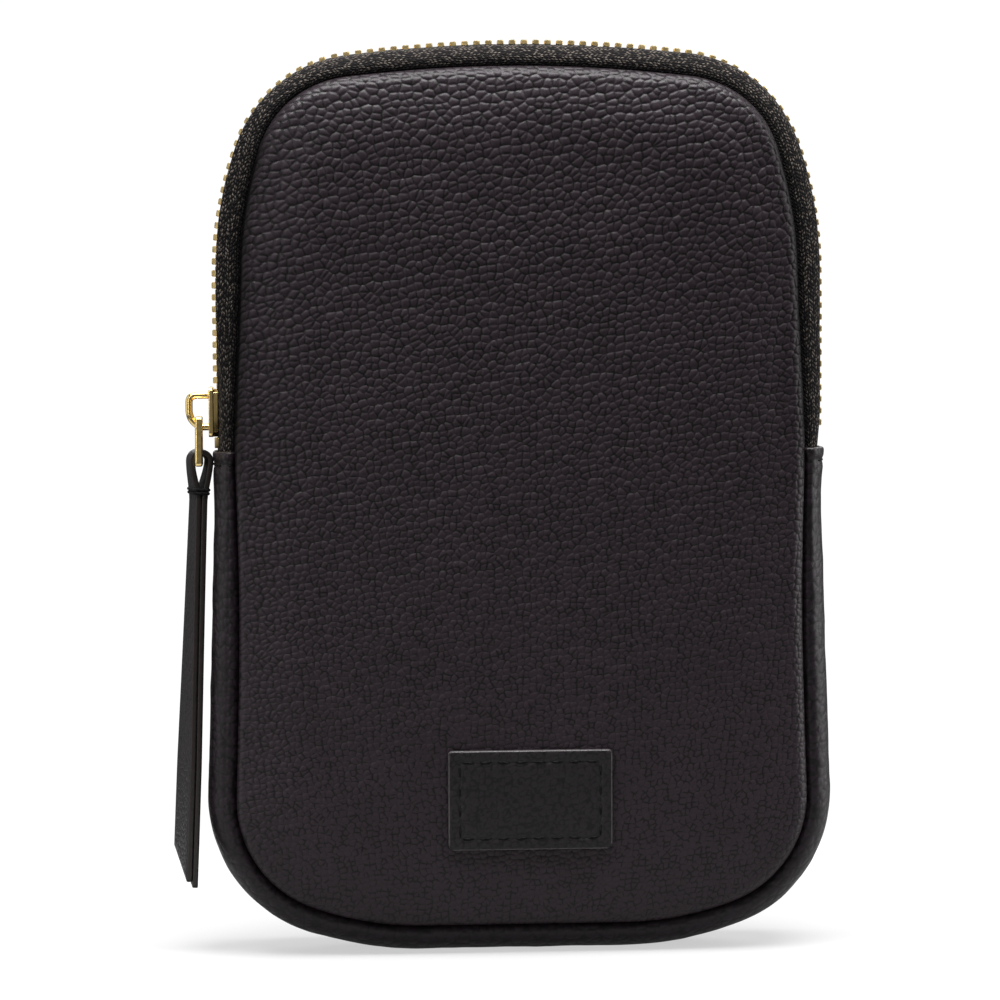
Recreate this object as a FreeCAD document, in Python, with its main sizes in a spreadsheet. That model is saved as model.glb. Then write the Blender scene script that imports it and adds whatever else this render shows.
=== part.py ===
import FreeCAD, Part
import math
import os
import Sketcher
from FreeCAD import Matrix, Placement, Rotation, Vector

# Leather phone pouch, standing on its gusset.
# X runs to the right, Y to the back and Z up; the origin is the middle of the base.
# Two leather panels are sewn to a leather gusset round the lower half of the edge
# and to a metal zip round the upper half. The slider is parked at the left end.

# Driving dimensions in millimetres, degrees or shares where the name says so
SIZES = {
    # outline of the pouch, seen from the front
    "height": 180.0,
    "zip_half_width": 60.3,
    "belly": 1.7,
    "base_half_flat": 20.0,
    "heel_radius": 68.0,
    "bottom_corner_radius": 28.0,
    "waist_share": 0.5,
    "waist_radius": 170.0,
    "shoulder_drop": 45.2,
    "shoulder_radius": 75.0,
    "top_corner_radius": 27.0,
    "crown_radius": 270.0,
    # sheets that the pouch is sewn from
    "leather": 1.1,
    "lining": 0.4,
    "board": 0.8,
    "sheet_gap": 0.1,
    # seam between panels and gusset
    "seam_inset": 5.5,
    "seam_half_depth": 9.7,
    "gusset_round": 4.7,
    "seam_gap": 0.1,
    "lining_margin": 0.6,
    # front and back panels
    "panel_half_depth": 14.0,
    "panel_roll": 3.2,
    "panel_turn": 7.4,
    # gusset ends and the fold line of the mouth
    "hem_rise": 9.3,
    "fold_gap": 0.3,
    # zip tapes and teeth
    "tape_half": 0.3,
    "tape_edge": 1.3,
    "tape_tuck": 3.4,
    "tuck_edge": 2.4,
    "tooth_pitch": 2.33,
    "tooth_half": 1.3,
    "tooth_leg": 1.3,
    "tooth_neck": 0.72,
    "tooth_head": 0.96,
    "tooth_root": 3.0,
    "tooth_shoulder": 1.25,
    "tooth_waist": 0.6,
    "tooth_reach": 0.75,
    "crimp_gap": 0.03,
    "stop_length": 2.0,
    "stop_gap": 0.3,
    # slider
    "slider_rise": 2.8,
    "slider_length": 9.8,
    "slider_plate": 0.9,
    "slider_clearance": 0.2,
    "slider_flare": 0.5,
    "slider_corner": 1.0,
    "rail_width": 0.65,
    "rail_slot_half": 0.55,
    "wedge_half": 1.0,
    "wedge_point": 0.35,
    "wedge_length": 4.2,
    # bridge on the slider
    "bridge_foot": 1.2,
    "bridge_length": 7.7,
    "bridge_height": 4.6,
    "bridge_bar": 1.0,
    "bridge_half": 0.9,
    "bridge_round": 1.6,
    # metal link of the pull
    "link_length": 9.8,
    "link_half_thick": 0.75,
    "link_top_half": 3.4,
    "link_bottom_half": 4.9,
    "link_side_bar": 1.2,
    "link_top_bar": 1.5,
    "link_bottom_bar": 2.0,
    "link_gap": 0.3,
    "link_stand": 2.0,
    "link_corner": 0.8,
    "link_edge": 0.4,
    # leather pull tab
    "tab_leaf": 1.15,
    "tab_leaf_gap": 0.1,
    "tab_loop": 2.4,
    "tab_neck_drop": 5.2,
    "tab_split_drop": 8.6,
    "tab_drop": 86.2,
    "tab_widen_drop": 60.0,
    "tab_neck_half": 3.0,
    "tab_end_half": 5.5,
    "tab_slant": 6.0,
    "tab_lean_degrees": 1.7,
    # label on the front panel
    "label_half_width": 16.1,
    "label_half_height": 9.8,
    "label_centre": 30.9,
    "label_shift": 1.0,
    "label_thick": 1.2,
    "label_corner": 0.9,
    # thread
    "thread": 0.5,
    "thread_proud": 0.25,
    "stitch_length": 2.6,
    "stitch_space": 0.5,
    "label_stitch_inset": 2.3,
    "hem_stitch_drop": 2.6,
    "tab_stitch_drop": 6.4,
    # how far every cut runs past what it cuts
    "overrun": 5.0,
}

doc = FreeCAD.newDocument("phone_pouch")
sheet = doc.addObject("Spreadsheet::Sheet", "Sizes")
for row, (alias, number) in enumerate(SIZES.items(), start=1):
    sheet.set("A%d" % row, alias)
    sheet.set("B%d" % row, str(number))
    sheet.setAlias("B%d" % row, alias)
doc.recompute()

parts = []


# Sizes and formulas

def dim(alias):
    """Number in the sheet."""
    return float(sheet.get(alias))


def total(*terms):
    """Sum of named sizes; a leading minus takes one away, and a star makes a share of one."""
    result = 0
    for term in terms:
        worth = math.prod(dim(alias) for alias in term.lstrip("-").split("*"))
        result += -worth if term.startswith("-") else worth
    return result


def formula(*terms):
    """The same sum as an expression on the sheet."""
    text = "0"
    for term in terms:
        text += " - " if term.startswith("-") else " + "
        text += " * ".join("Sizes." + alias for alias in term.lstrip("-").split("*"))
    return text


def less(*terms):
    """The same terms, taken away."""
    return tuple(term[1:] if term.startswith("-") else "-" + term for term in terms)


def same(*terms):
    """The terms as they are."""
    return terms


# Heights and half widths that the outline and the zip share
CORNER_HALF = ("zip_half_width", "belly", "-bottom_corner_radius")
WAIST_HEIGHT = ("height*waist_share",)
SHOULDER_HEIGHT = ("height", "-shoulder_drop")
HEM_TOP = WAIST_HEIGHT + ("hem_rise",)
FOLD_LINE = HEM_TOP + ("fold_gap",)
SLIDER_BASE = HEM_TOP + ("slider_rise",)

# Stacking of the sheets, as insets from the outline
TAPE_DROP = ("leather", "sheet_gap")
TAPE_WALL = ("tape_half", "tape_half")
CHAIN_MID = TAPE_DROP + ("tape_half",)
LINING_DROP = TAPE_DROP + TAPE_WALL + ("sheet_gap",)
PANEL_EDGE = ("seam_inset", "seam_gap")


# Bodies, sketches and features

def new_body(label):
    body = doc.addObject("PartDesign::Body", label)
    body.Label = label
    parts.append(body)
    return body


def new_sketch(body, plane, *offset):
    """Sketch on one of the body's origin planes, moved along that plane's normal."""
    sketch = body.newObject("Sketcher::SketchObject", body.Name + "_sketch")
    support = [item for item in body.Origin.OriginFeatures if item.Role == plane][0]
    sketch.AttachmentSupport = [(support, "")]
    sketch.MapMode = "FlatFace"
    if offset:
        sketch.setExpression("AttachmentOffset.Base.z", formula(*offset))
    return sketch


def bind(sketch, constraint, *terms):
    """Add a dimension to a sketch and tie it to the sheet."""
    index = sketch.addConstraint(constraint)
    sketch.setExpression("Constraints[%d]" % index, formula(*terms))


def hold_point(sketch, geometry, position, across, up):
    """Place one point of a sketch by its two coordinates."""
    for kind, axis, terms in (("DistanceX", -2, across), ("DistanceY", -1, up)):
        if not terms:
            sketch.addConstraint(Sketcher.Constraint("PointOnObject", geometry, position, axis))
        elif total(*terms) > 0:
            far = Sketcher.Constraint(kind, -1, 1, geometry, position, total(*terms))
            bind(sketch, far, *terms)
        else:
            back = less(*terms)
            near = Sketcher.Constraint(kind, geometry, position, -1, 1, total(*back))
            bind(sketch, near, *back)


def polygon(sketch, corners):
    """Closed polygon; each corner is a pair of sums of named sizes."""
    points = [Vector(total(*across), total(*up), 0) for across, up in corners]
    lines = []
    for first, last in zip(points, points[1:] + points[:1]):
        lines.append(sketch.addGeometry(Part.LineSegment(first, last)))
    for line, following, corner in zip(lines, lines[1:] + lines[:1], corners):
        sketch.addConstraint(Sketcher.Constraint("Coincident", line, 2, following, 1))
        hold_point(sketch, line, 1, *corner)


def box_corners(left, right, low, high):
    return [(left, low), (right, low), (right, high), (left, high)]


def extrude(body, kind, sketch, *length):
    """Pad along the sketch's normal, or pocket against it."""
    before = body.Shape.Volume if kind == "Pocket" else 0.0
    feature = body.newObject("PartDesign::" + kind, body.Name + "_" + kind.lower())
    feature.Profile = sketch
    feature.setExpression("Length", formula(*length))
    doc.recompute()
    if kind == "Pocket" and body.Shape.Volume >= before:
        raise ValueError("pocket cuts nothing in " + body.Label)
    return feature


def fillet(body, base, chosen, *radius):
    """Round the edges of the base feature that the test picks."""
    names = ["Edge%d" % number for number, edge in enumerate(base.Shape.Edges, start=1) if chosen(edge)]
    feature = body.newObject("PartDesign::Fillet", body.Name + "_fillet")
    feature.Base = (base, names)
    feature.setExpression("Radius", formula(*radius))
    doc.recompute()
    return feature


def lies_at(axis, places):
    """Test for edges whose ends all lie at one of the places along an axis."""
    near = Part.Precision.confusion() * 100

    def test(edge):
        ends = [getattr(vertex.Point, axis) for vertex in edge.Vertexes]
        return any(all(abs(end - place) < near for end in ends) for place in places)
    return test


def runs_along(axis):
    """Test for straight edges along an axis."""
    def test(edge):
        return edge.Curve.TypeId == "Part::GeomLine" and abs(getattr(edge.Curve.Direction, axis)) > 0.999
    return test


# Outline of the pouch: a flat base, bowed heels, round bottom corners, a belly that leans in
# to the waist, upright sides, swept shoulders, tighter top corners and a slightly bowed crown

def circle_meeting(first, first_radius, second, second_radius):
    """Right-hand point that has the two given distances from two points."""
    gap = second - first
    along = (first_radius ** 2 - second_radius ** 2 + gap.Length ** 2) / (2 * gap.Length)
    aside = math.sqrt(first_radius ** 2 - along ** 2)
    ahead = Vector(gap).normalize()
    across = Vector(-ahead.y, ahead.x, 0)
    found = [first + ahead * along + across * (sign * aside) for sign in (1, -1)]
    return max(found, key=lambda point: point.x)


def arc(centre, radius, first, last):
    """Counter-clockwise arc between two points."""
    circle = Part.Circle(centre, Vector(0, 0, 1), radius)
    return Part.ArcOfCircle(circle, circle.parameter(first), circle.parameter(last))


def flip(point):
    return Vector(-point.x, point.y, 0)


def half_outline(inset):
    """Lines and arcs of the right half by name, of the left half, of the base and of the crown."""
    heel = Vector(dim("base_half_flat"), dim("heel_radius"), 0)
    heel_radius = dim("heel_radius") - inset
    corner_reach = total("heel_radius", "-bottom_corner_radius")
    corner_aside = total(*CORNER_HALF, "-base_half_flat")
    corner = Vector(total(*CORNER_HALF), heel.y - math.sqrt(corner_reach ** 2 - corner_aside ** 2), 0)
    corner_radius = dim("bottom_corner_radius") - inset
    waist = Vector(total("zip_half_width", "waist_radius"), total(*WAIST_HEIGHT), 0)
    waist_radius = dim("waist_radius") + inset
    reach = waist - corner
    ahead = Vector(reach).normalize()
    share = (corner_radius + waist_radius) / reach.Length
    lean = ahead * share + Vector(ahead.y, -ahead.x, 0) * math.sqrt(1 - share ** 2)
    side = dim("zip_half_width") - inset
    shoulder = Vector(total("zip_half_width", "-shoulder_radius"), total(*SHOULDER_HEIGHT), 0)
    crown = Vector(0, total("height", "-crown_radius"), 0)
    top = circle_meeting(shoulder, total("shoulder_radius", "-top_corner_radius"),
                         crown, total("crown_radius", "-top_corner_radius"))
    base_end = Vector(heel.x, inset, 0)
    heel_end = heel + (corner - heel).normalize() * heel_radius
    lean_start = corner + lean * corner_radius
    lean_end = waist - lean * waist_radius
    side_start = Vector(side, waist.y, 0)
    side_end = Vector(side, shoulder.y, 0)
    shoulder_radius = dim("shoulder_radius") - inset
    shoulder_end = shoulder + (top - shoulder).normalize() * shoulder_radius
    crown_radius = dim("crown_radius") - inset
    crown_start = crown + (top - crown).normalize() * crown_radius
    top_radius = dim("top_corner_radius") - inset
    arcs = {
        "heel": (heel, heel_radius, base_end, heel_end),
        "corner": (corner, corner_radius, heel_end, lean_start),
        "waist": (waist, waist_radius, side_start, lean_end),
        "shoulder": (shoulder, shoulder_radius, side_end, shoulder_end),
        "top": (top, top_radius, shoulder_end, crown_start),
    }
    right = {name: arc(*shape) for name, shape in arcs.items()}
    left = {name: arc(flip(centre), radius, flip(last), flip(first))
            for name, (centre, radius, first, last) in arcs.items()}
    right["lean"] = Part.LineSegment(lean_start, lean_end)
    left["lean"] = Part.LineSegment(flip(lean_end), flip(lean_start))
    right["side"] = Part.LineSegment(side_start, side_end)
    left["side"] = Part.LineSegment(flip(side_end), flip(side_start))
    base = Part.LineSegment(flip(base_end), base_end)
    bow = arc(crown, crown_radius, crown_start, flip(crown_start))
    return right, left, base, bow


CHAIN = ("heel", "corner", "lean", "waist", "side", "shoulder", "top")


def outline(sketch, *inset):
    """Closed outline in a sketch, drawn inside the pouch's edge by a sum of named sizes."""
    right, left, base, bow = half_outline(total(*inset))
    order = [("base", base)]
    order += [("right_" + name, right[name]) for name in CHAIN]
    order += [("bow", bow)]
    order += [("left_" + name, left[name]) for name in reversed(CHAIN)]
    index = {name: sketch.addGeometry(shape) for name, shape in order}
    names = list(index)
    for name, following in zip(names, names[1:] + names[:1]):
        tail = 1 if name.endswith("waist") else 2
        head = 2 if following.endswith("waist") else 1
        sketch.addConstraint(Sketcher.Constraint("Tangent", index[name], tail, index[following], head))
    sketch.addConstraint(Sketcher.Constraint("Horizontal", index["base"]))
    side_half = ("zip_half_width",) + less(*inset)
    for hand, tail in (("right_", 2), ("left_", 1)):
        side = index[hand + "side"]
        low, high = (1, 2) if hand == "right_" else (2, 1)
        sketch.addConstraint(Sketcher.Constraint("Vertical", side))
        for geometry, position, terms in ((index["base"], tail, ("base_half_flat",)), (side, low, side_half),
                                          (index[hand + "corner"], 3, CORNER_HALF)):
            ends = (-1, 1, geometry, position) if hand == "right_" else (geometry, position, -1, 1)
            bind(sketch, Sketcher.Constraint("DistanceX", *ends, total(*terms)), *terms)
        for position, terms in ((low, WAIST_HEIGHT), (high, SHOULDER_HEIGHT)):
            bind(sketch, Sketcher.Constraint("DistanceY", -1, 1, side, position, total(*terms)), *terms)
        for name, size, sign in (("heel", "heel_radius", -1), ("corner", "bottom_corner_radius", -1),
                                 ("waist", "waist_radius", 1), ("shoulder", "shoulder_radius", -1),
                                 ("top", "top_corner_radius", -1)):
            terms = (size,) + (inset if sign > 0 else less(*inset))
            bind(sketch, Sketcher.Constraint("Radius", index[hand + name], total(*terms)), *terms)
    terms = ("heel_radius",)
    bind(sketch, Sketcher.Constraint("DistanceY", -1, 1, index["right_heel"], 3, total(*terms)), *terms)
    terms = ("crown_radius",) + less(*inset)
    bind(sketch, Sketcher.Constraint("Radius", index["bow"], total(*terms)), *terms)
    hold_point(sketch, index["bow"], 3, (), ("height", "-crown_radius"))
    return sketch


def keep_range(body, low, high, depth):
    """Cut away what lies below one height and above another, as deep as the body is."""
    wide = ("zip_half_width", "seam_inset")
    corners = []
    if low:
        corners.append(box_corners(less(*wide), wide, ("-overrun",), low))
    if high:
        corners.append(box_corners(less(*wide), wide, high, ("height", "overrun")))
    sketch = new_sketch(body, "XZ_Plane", *depth)
    for shape in corners:
        polygon(sketch, shape)
    extrude(body, "Pocket", sketch, *depth, *depth)


# Leather panels, boards and linings

def leather_panel(label, low=(), high=(), back=False):
    """Shallow leather tray: a face, a rolled edge and the turned allowance that the seam takes."""
    body = new_body(label)
    rear = ("panel_half_depth", "-panel_turn")
    blank = outline(new_sketch(body, "XZ_Plane", *rear), *PANEL_EDGE)
    extrude(body, "Pad", blank, "panel_turn")
    inside = outline(new_sketch(body, "XZ_Plane", "panel_half_depth", "-leather"), *PANEL_EDGE, "leather")
    hollow = extrude(body, "Pocket", inside, "panel_turn")
    floor = lies_at("y", [total("-panel_half_depth", "leather")])
    hollow = fillet(body, hollow, floor, "panel_roll", "-leather")
    fillet(body, hollow, lies_at("y", [-dim("panel_half_depth")]), "panel_roll")
    if low or high:
        keep_range(body, low, high, ("panel_half_depth", "overrun"))
    if back:
        body.Placement = Placement(Vector(), Rotation(Vector(0, 0, 1), 180))
    return body


def flat_sheet(label, front, thick, inset, low=(), high=(), back=False):
    """Flat sheet behind a panel's face."""
    body = new_body(label)
    rear = front + less(thick)
    extrude(body, "Pad", outline(new_sketch(body, "XZ_Plane", *rear), *inset), thick)
    if low or high:
        keep_range(body, low, high, ("panel_half_depth", "overrun"))
    if back:
        body.Placement = Placement(Vector(), Rotation(Vector(0, 0, 1), 180))
    return body


def panel_stack(name, half="", low=(), high=(), back=False):
    """A panel with its board and lining; the front is split where the mouth folds open."""
    board_front = ("panel_half_depth", "-leather")
    lining_front = board_front + ("-board",)
    leather_panel(name + "_panel" + half, low, high, back)
    flat_sheet(name + "_board" + half, board_front, "board", PANEL_EDGE + ("panel_roll",), low, high, back)
    lining_inset = PANEL_EDGE + ("leather", "lining_margin")
    flat_sheet(name + "_lining" + half, lining_front, "lining", lining_inset, low, high, back)


# Gusset, its lining and the zip tapes

def edge_band(label, drop, wall, low=(), high=()):
    """Band of sheet round the pouch's edge: a flat crest with a rounded shoulder down to each seam."""
    body = new_body(label)
    half = ("seam_half_depth",) + less(*drop)
    inner = half + less(*wall)
    blank = outline(new_sketch(body, "XZ_Plane", *less(*half)), *drop)
    extrude(body, "Pad", blank, *half, *half)
    inside = outline(new_sketch(body, "XZ_Plane", *inner), *drop, *wall)
    hollow = extrude(body, "Pocket", inside, *inner, *inner)
    faces = [total(*inner), -total(*inner)]
    hollow = fillet(body, hollow, lies_at("y", faces), "gusset_round", *less(*drop), *less(*wall))
    faces = [total(*half), -total(*half)]
    fillet(body, hollow, lies_at("y", faces), "gusset_round", *less(*drop))
    mouth = outline(new_sketch(body, "XZ_Plane", "seam_half_depth", "overrun"), "seam_inset")
    through = ("seam_half_depth", "overrun")
    extrude(body, "Pocket", mouth, *through, *through)
    keep_range(body, low, high, through)
    return body


def zip_tape(label, back=False):
    """One half of the zip's tape, from the seam to the edge that the teeth clamp."""
    body = edge_band(label, TAPE_DROP, TAPE_WALL, low=HEM_TOP + ("-tape_tuck",))
    wide = ("zip_half_width", "overrun")
    depth = ("seam_half_depth", "overrun")
    sketch = new_sketch(body, "XZ_Plane", "tape_edge")
    polygon(sketch, box_corners(less(*wide), wide, ("-overrun",), ("height", "overrun")))
    extrude(body, "Pocket", sketch, *depth)
    # the ends that go under the hems are cut narrower, with room to pass the stop and the wedge
    crest = ("seam_half_depth", "-gusset_round")
    for start, length in ((depth, depth + less(*crest)), (("tuck_edge",), depth)):
        sketch = new_sketch(body, "XZ_Plane", *start)
        polygon(sketch, box_corners(less(*wide), wide, ("-overrun",), FOLD_LINE))
        extrude(body, "Pocket", sketch, *length)
    if back:
        body.Placement = Placement(Vector(), Rotation(Vector(0, 0, 1), 180))
    return body


# Zip chain

def chain_path():
    """Path of the chain from the left end over the crown to the right end."""
    right, left, _, bow = half_outline(total(*CHAIN_MID))
    rise = Part.LineSegment(Vector(-total("zip_half_width", *less(*CHAIN_MID)), total(*HEM_TOP), 0),
                            left["side"].StartPoint)
    fall = Part.LineSegment(flip(rise.EndPoint), flip(rise.StartPoint))
    run = [rise, left["shoulder"], left["top"], bow, right["top"], right["shoulder"], fall]
    return [(shape, shape is not rise and shape is not fall) for shape in run]


def along_chain(distance):
    """Place and outward direction of the chain at a distance from its left end."""
    for shape, reverse in chain_path():
        length = shape.length()
        if distance <= length:
            start = shape.LastParameter if reverse else shape.FirstParameter
            step = shape.parameterAtDistance(-distance if reverse else distance, start)
            spot = shape.value(step)
            ahead = Vector(*shape.tangent(step)[0]) * (-1 if reverse else 1)
            return Vector(spot.x, 0, spot.y), Vector(-ahead.y, 0, ahead.x)
        distance -= length
    return None


def chain_length():
    return sum(shape.length() for shape, reverse in chain_path())


def tooth_shape():
    """One tooth: two legs that clamp the tape, a neck and a head, reaching over the middle."""
    halves = ((dim("tooth_leg"), -dim("tooth_root")), (dim("tooth_leg"), -dim("tooth_shoulder")),
              (dim("tooth_neck"), -dim("tooth_waist")), (dim("tooth_head"), dim("tooth_reach")))
    right = [Vector(width / 2, across, -dim("tooth_half")) for width, across in halves]
    left = [Vector(-point.x, point.y, point.z) for point in reversed(right)]
    face = Part.Face(Part.makePolygon(right + left + right[:1]))
    block = face.extrude(Vector(0, 0, total("tooth_half", "tooth_half")))
    slot_half = total("tape_half", "crimp_gap")
    slot_deep = total("tooth_root", "-tape_edge", "crimp_gap", "overrun")
    slot_wide = total("tooth_leg", "overrun")
    corner = Vector(-slot_wide / 2, -total("tooth_root", "overrun"), -slot_half)
    return block.cut(Part.makeBox(slot_wide, slot_deep, 2 * slot_half, corner))


def zip_teeth(label, back=False):
    """Row of teeth on one tape; the two rows mesh half a pitch apart."""
    tooth = tooth_shape()
    first = total("slider_rise", "wedge_length", "tooth_pitch")
    last = chain_length() - dim("tooth_pitch")
    pitch = dim("tooth_pitch")
    count = int((last - first) / pitch)
    row = []
    for number in range(count):
        shift = first + number * pitch + (pitch / 2 if back else 0)
        spot, outward = along_chain(shift)
        across = Vector(0, -1, 0) if back else Vector(0, 1, 0)
        run = across.cross(outward)
        turn = Matrix(run.x, across.x, outward.x, spot.x, run.y, across.y, outward.y, spot.y,
                      run.z, across.z, outward.z, spot.z, 0, 0, 0, 1)
        row.append(tooth.transformed(turn))
    feature = doc.addObject("Part::Feature", label)
    feature.Label = label
    feature.Shape = Part.makeCompound(row)
    parts.append(feature)


def top_stop(label, hand):
    """Metal clip on the end of a row, which the slider comes to rest on."""
    body = new_body(label)
    outer = ("-zip_half_width",) + CHAIN_MID
    floor = hand("tape_edge", "-crimp_gap")
    legs = hand("tooth_root")
    tip = hand("wedge_half", "-crimp_gap")
    slot = ("tape_half", "crimp_gap")
    sketch = new_sketch(body, "XY_Plane", *FOLD_LINE, "stop_gap")
    polygon(sketch, [
        (outer + ("-tooth_half",), legs), (outer + less(*slot), legs), (outer + less(*slot), floor),
        (outer + slot, floor), (outer + slot, legs), (outer + ("tooth_half",), legs),
        (outer + ("tooth_half",), tip), (outer + ("-tooth_half",), tip)])
    extrude(body, "Pad", sketch, "stop_length")


# Slider and pull

SLIDER_FACE = ("-zip_half_width",) + CHAIN_MID + ("-tooth_half", "-slider_clearance")
SLIDER_TOP = SLIDER_BASE + ("slider_length",)
NARROW = ("tooth_root", "slider_clearance", "rail_width")
WIDE = NARROW + ("slider_flare",)


def slider_body():
    """Two plates held apart by a wedge, with rails that keep the chain in."""
    body = new_body("slider_body")
    plate = [(less(*WIDE), SLIDER_BASE), (WIDE, SLIDER_BASE),
             (NARROW, SLIDER_TOP), (less(*NARROW), SLIDER_TOP)]
    gap = ("tooth_half", "tooth_half", "slider_clearance", "slider_clearance")
    rail_height = ("tooth_half", "slider_clearance", "-rail_slot_half")
    mid = ("-zip_half_width",) + CHAIN_MID
    depth = total(*SLIDER_FACE, *gap)

    def corner(edge):
        return runs_along("x")(edge) and edge.BoundBox.XMin > depth - dim("slider_clearance")

    outer = new_sketch(body, "YZ_Plane", *SLIDER_FACE, "-slider_plate")
    polygon(outer, plate)
    outer_plate = extrude(body, "Pad", outer, "slider_plate")
    fillet(body, outer_plate, runs_along("x"), "slider_corner")
    wedge = new_sketch(body, "YZ_Plane", *SLIDER_FACE)
    blade = SLIDER_BASE + ("wedge_length",)
    polygon(wedge, [(("-wedge_half",), SLIDER_BASE), (("wedge_half",), SLIDER_BASE),
                    (("wedge_point",), blade), (("-wedge_point",), blade)])
    extrude(body, "Pad", wedge, *gap)
    inner = new_sketch(body, "YZ_Plane", *SLIDER_FACE, *gap)
    polygon(inner, plate)
    inner_plate = extrude(body, "Pad", inner, "slider_plate")
    fillet(body, inner_plate, corner, "slider_corner")
    low = SLIDER_BASE + ("slider_corner",)
    high = SLIDER_TOP + ("-slider_corner",)
    for start in (SLIDER_FACE, mid + ("rail_slot_half",)):
        rails = new_sketch(body, "YZ_Plane", *start)
        for hand in (less, same):
            polygon(rails, box_corners(hand(*NARROW, "-rail_width"), hand(*NARROW), low, high))
        extrude(body, "Pad", rails, *rail_height)
    return body


BRIDGE_LOW = SLIDER_BASE + ("bridge_foot",)
BRIDGE_FACE = SLIDER_FACE + ("-slider_plate",)
LINK_AXIS_X = BRIDGE_FACE + ("-link_stand",)
LINK_TOP = BRIDGE_LOW + ("bridge_bar", "link_gap", "link_top_bar")
LINK_LOW = LINK_TOP + ("-link_length",)


def slider_bridge():
    """Hoop on the slider's outer plate that the pull hangs from."""
    body = new_body("slider_bridge")
    high = BRIDGE_LOW + ("bridge_length",)
    crest = BRIDGE_FACE + ("-bridge_height",)
    eye_low = BRIDGE_LOW + ("bridge_bar",)
    eye_high = high + ("-bridge_bar",)
    eye_crest = crest + ("bridge_bar",)
    sketch = new_sketch(body, "XZ_Plane", "-bridge_half")
    polygon(sketch, [(crest, BRIDGE_LOW), (BRIDGE_FACE, BRIDGE_LOW), (BRIDGE_FACE, eye_low),
                     (eye_crest, eye_low), (eye_crest, eye_high), (BRIDGE_FACE, eye_high),
                     (BRIDGE_FACE, high), (crest, high)])
    hoop = extrude(body, "Pad", sketch, "bridge_half", "bridge_half")
    outer = lies_at("x", [total(*crest)])
    across = runs_along("y")
    fillet(body, hoop, lambda edge: outer(edge) and across(edge), "bridge_round")
    return body


def pull_link():
    """Tapered metal ring that swings in the bridge."""
    body = new_body("pull_link")
    window_low = LINK_LOW + ("link_bottom_bar",)
    window_high = LINK_TOP + ("-link_top_bar",)
    top = ("link_top_half",)
    bottom = ("link_bottom_half",)
    eye_top = top + ("-link_side_bar",)
    eye_bottom = bottom + ("-link_side_bar",)
    sketch = new_sketch(body, "YZ_Plane", *LINK_AXIS_X, "-link_half_thick")
    polygon(sketch, [(less(*bottom), LINK_LOW), (bottom, LINK_LOW), (top, LINK_TOP), (less(*top), LINK_TOP)])
    polygon(sketch, [(less(*eye_bottom), window_low), (eye_bottom, window_low),
                     (eye_top, window_high), (less(*eye_top), window_high)])
    ring = extrude(body, "Pad", sketch, "link_half_thick", "link_half_thick")
    ring = fillet(body, ring, runs_along("x"), "link_corner")
    faces = [total(*LINK_AXIS_X, "-link_half_thick"), total(*LINK_AXIS_X, "link_half_thick")]
    fillet(body, ring, lies_at("x", faces), "link_edge")
    return body


def tab_place():
    """Centre of the link's lower bar, with the tab's slight lean away from the pouch."""
    bar = Vector(total(*LINK_AXIS_X), 0, total(*LINK_LOW) + dim("link_bottom_bar") / 2)
    return Placement(bar, Rotation(Vector(0, 1, 0), dim("tab_lean_degrees")))


def loop_profile(sketch, radius, corners):
    """Round top on the origin, closed below by lines through the corners, from left to right."""
    size = total(*radius)
    top = sketch.addGeometry(arc(Vector(), size, Vector(size, 0, 0), Vector(-size, 0, 0)))
    hold_point(sketch, top, 3, (), ())
    bind(sketch, Sketcher.Constraint("Radius", top, size), *radius)
    for end in (1, 2):
        sketch.addConstraint(Sketcher.Constraint("PointOnObject", top, end, -1))
    points = [Vector(total(*across), total(*up), 0) for across, up in corners]
    points = [Vector(-size, 0, 0)] + points + [Vector(size, 0, 0)]
    lines = [sketch.addGeometry(Part.LineSegment(*pair)) for pair in zip(points, points[1:])]
    sketch.addConstraint(Sketcher.Constraint("Coincident", top, 2, lines[0], 1))
    for line, following, corner in zip(lines, lines[1:], corners):
        sketch.addConstraint(Sketcher.Constraint("Coincident", line, 2, following, 1))
        hold_point(sketch, line, 2, *corner)
    sketch.addConstraint(Sketcher.Constraint("Coincident", lines[-1], 2, top, 1))


def pull_tab():
    """Leather strip folded through the link, its two leaves sewn together at the neck."""
    body = new_body("pull_tab")
    leaf = ("tab_leaf",)
    inner = ("tab_loop", "-tab_leaf")
    neck = ("-tab_neck_drop",)
    end = ("-tab_drop",)
    sketch = new_sketch(body, "XZ_Plane", "-tab_end_half")
    loop_profile(sketch, ("tab_loop",), [(less(*leaf), neck), (less(*leaf), end), (leaf, end), (leaf, neck)])
    loop_profile(sketch, inner, [((), ("-tab_neck_drop", "tab_leaf"))])
    extrude(body, "Pad", sketch, "tab_end_half", "tab_end_half")
    reach = ("tab_loop", "overrun")
    shape = new_sketch(body, "YZ_Plane", *reach)
    half, wide = ("tab_neck_half",), ("tab_end_half",)
    clear = wide + ("overrun",)
    high_end = ("-tab_drop", "tab_slant")
    below = ("-tab_drop", "-overrun")
    for turn in (same, less):
        polygon(shape, [(turn(*half), reach), (turn(*half), neck), (turn(*wide), ("-tab_widen_drop",)),
                        (turn(*clear), ("-tab_widen_drop",)), (turn(*clear), reach)])
    extrude(body, "Pocket", shape, *reach, *reach)
    slant = new_sketch(body, "YZ_Plane", *reach)
    polygon(slant, [(less(*wide), end), (wide, high_end), (clear, high_end), (clear, below),
                    (less(*clear), below), (less(*clear), end)])
    extrude(body, "Pocket", slant, *reach, *reach)
    split = new_sketch(body, "XZ_Plane", *clear)
    gap = ("tab_leaf_gap",)
    polygon(split, box_corners(less(*gap), gap, below, ("-tab_split_drop",)))
    extrude(body, "Pocket", split, *clear, *clear)
    body.Placement = tab_place()
    return body


# Label and thread

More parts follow.
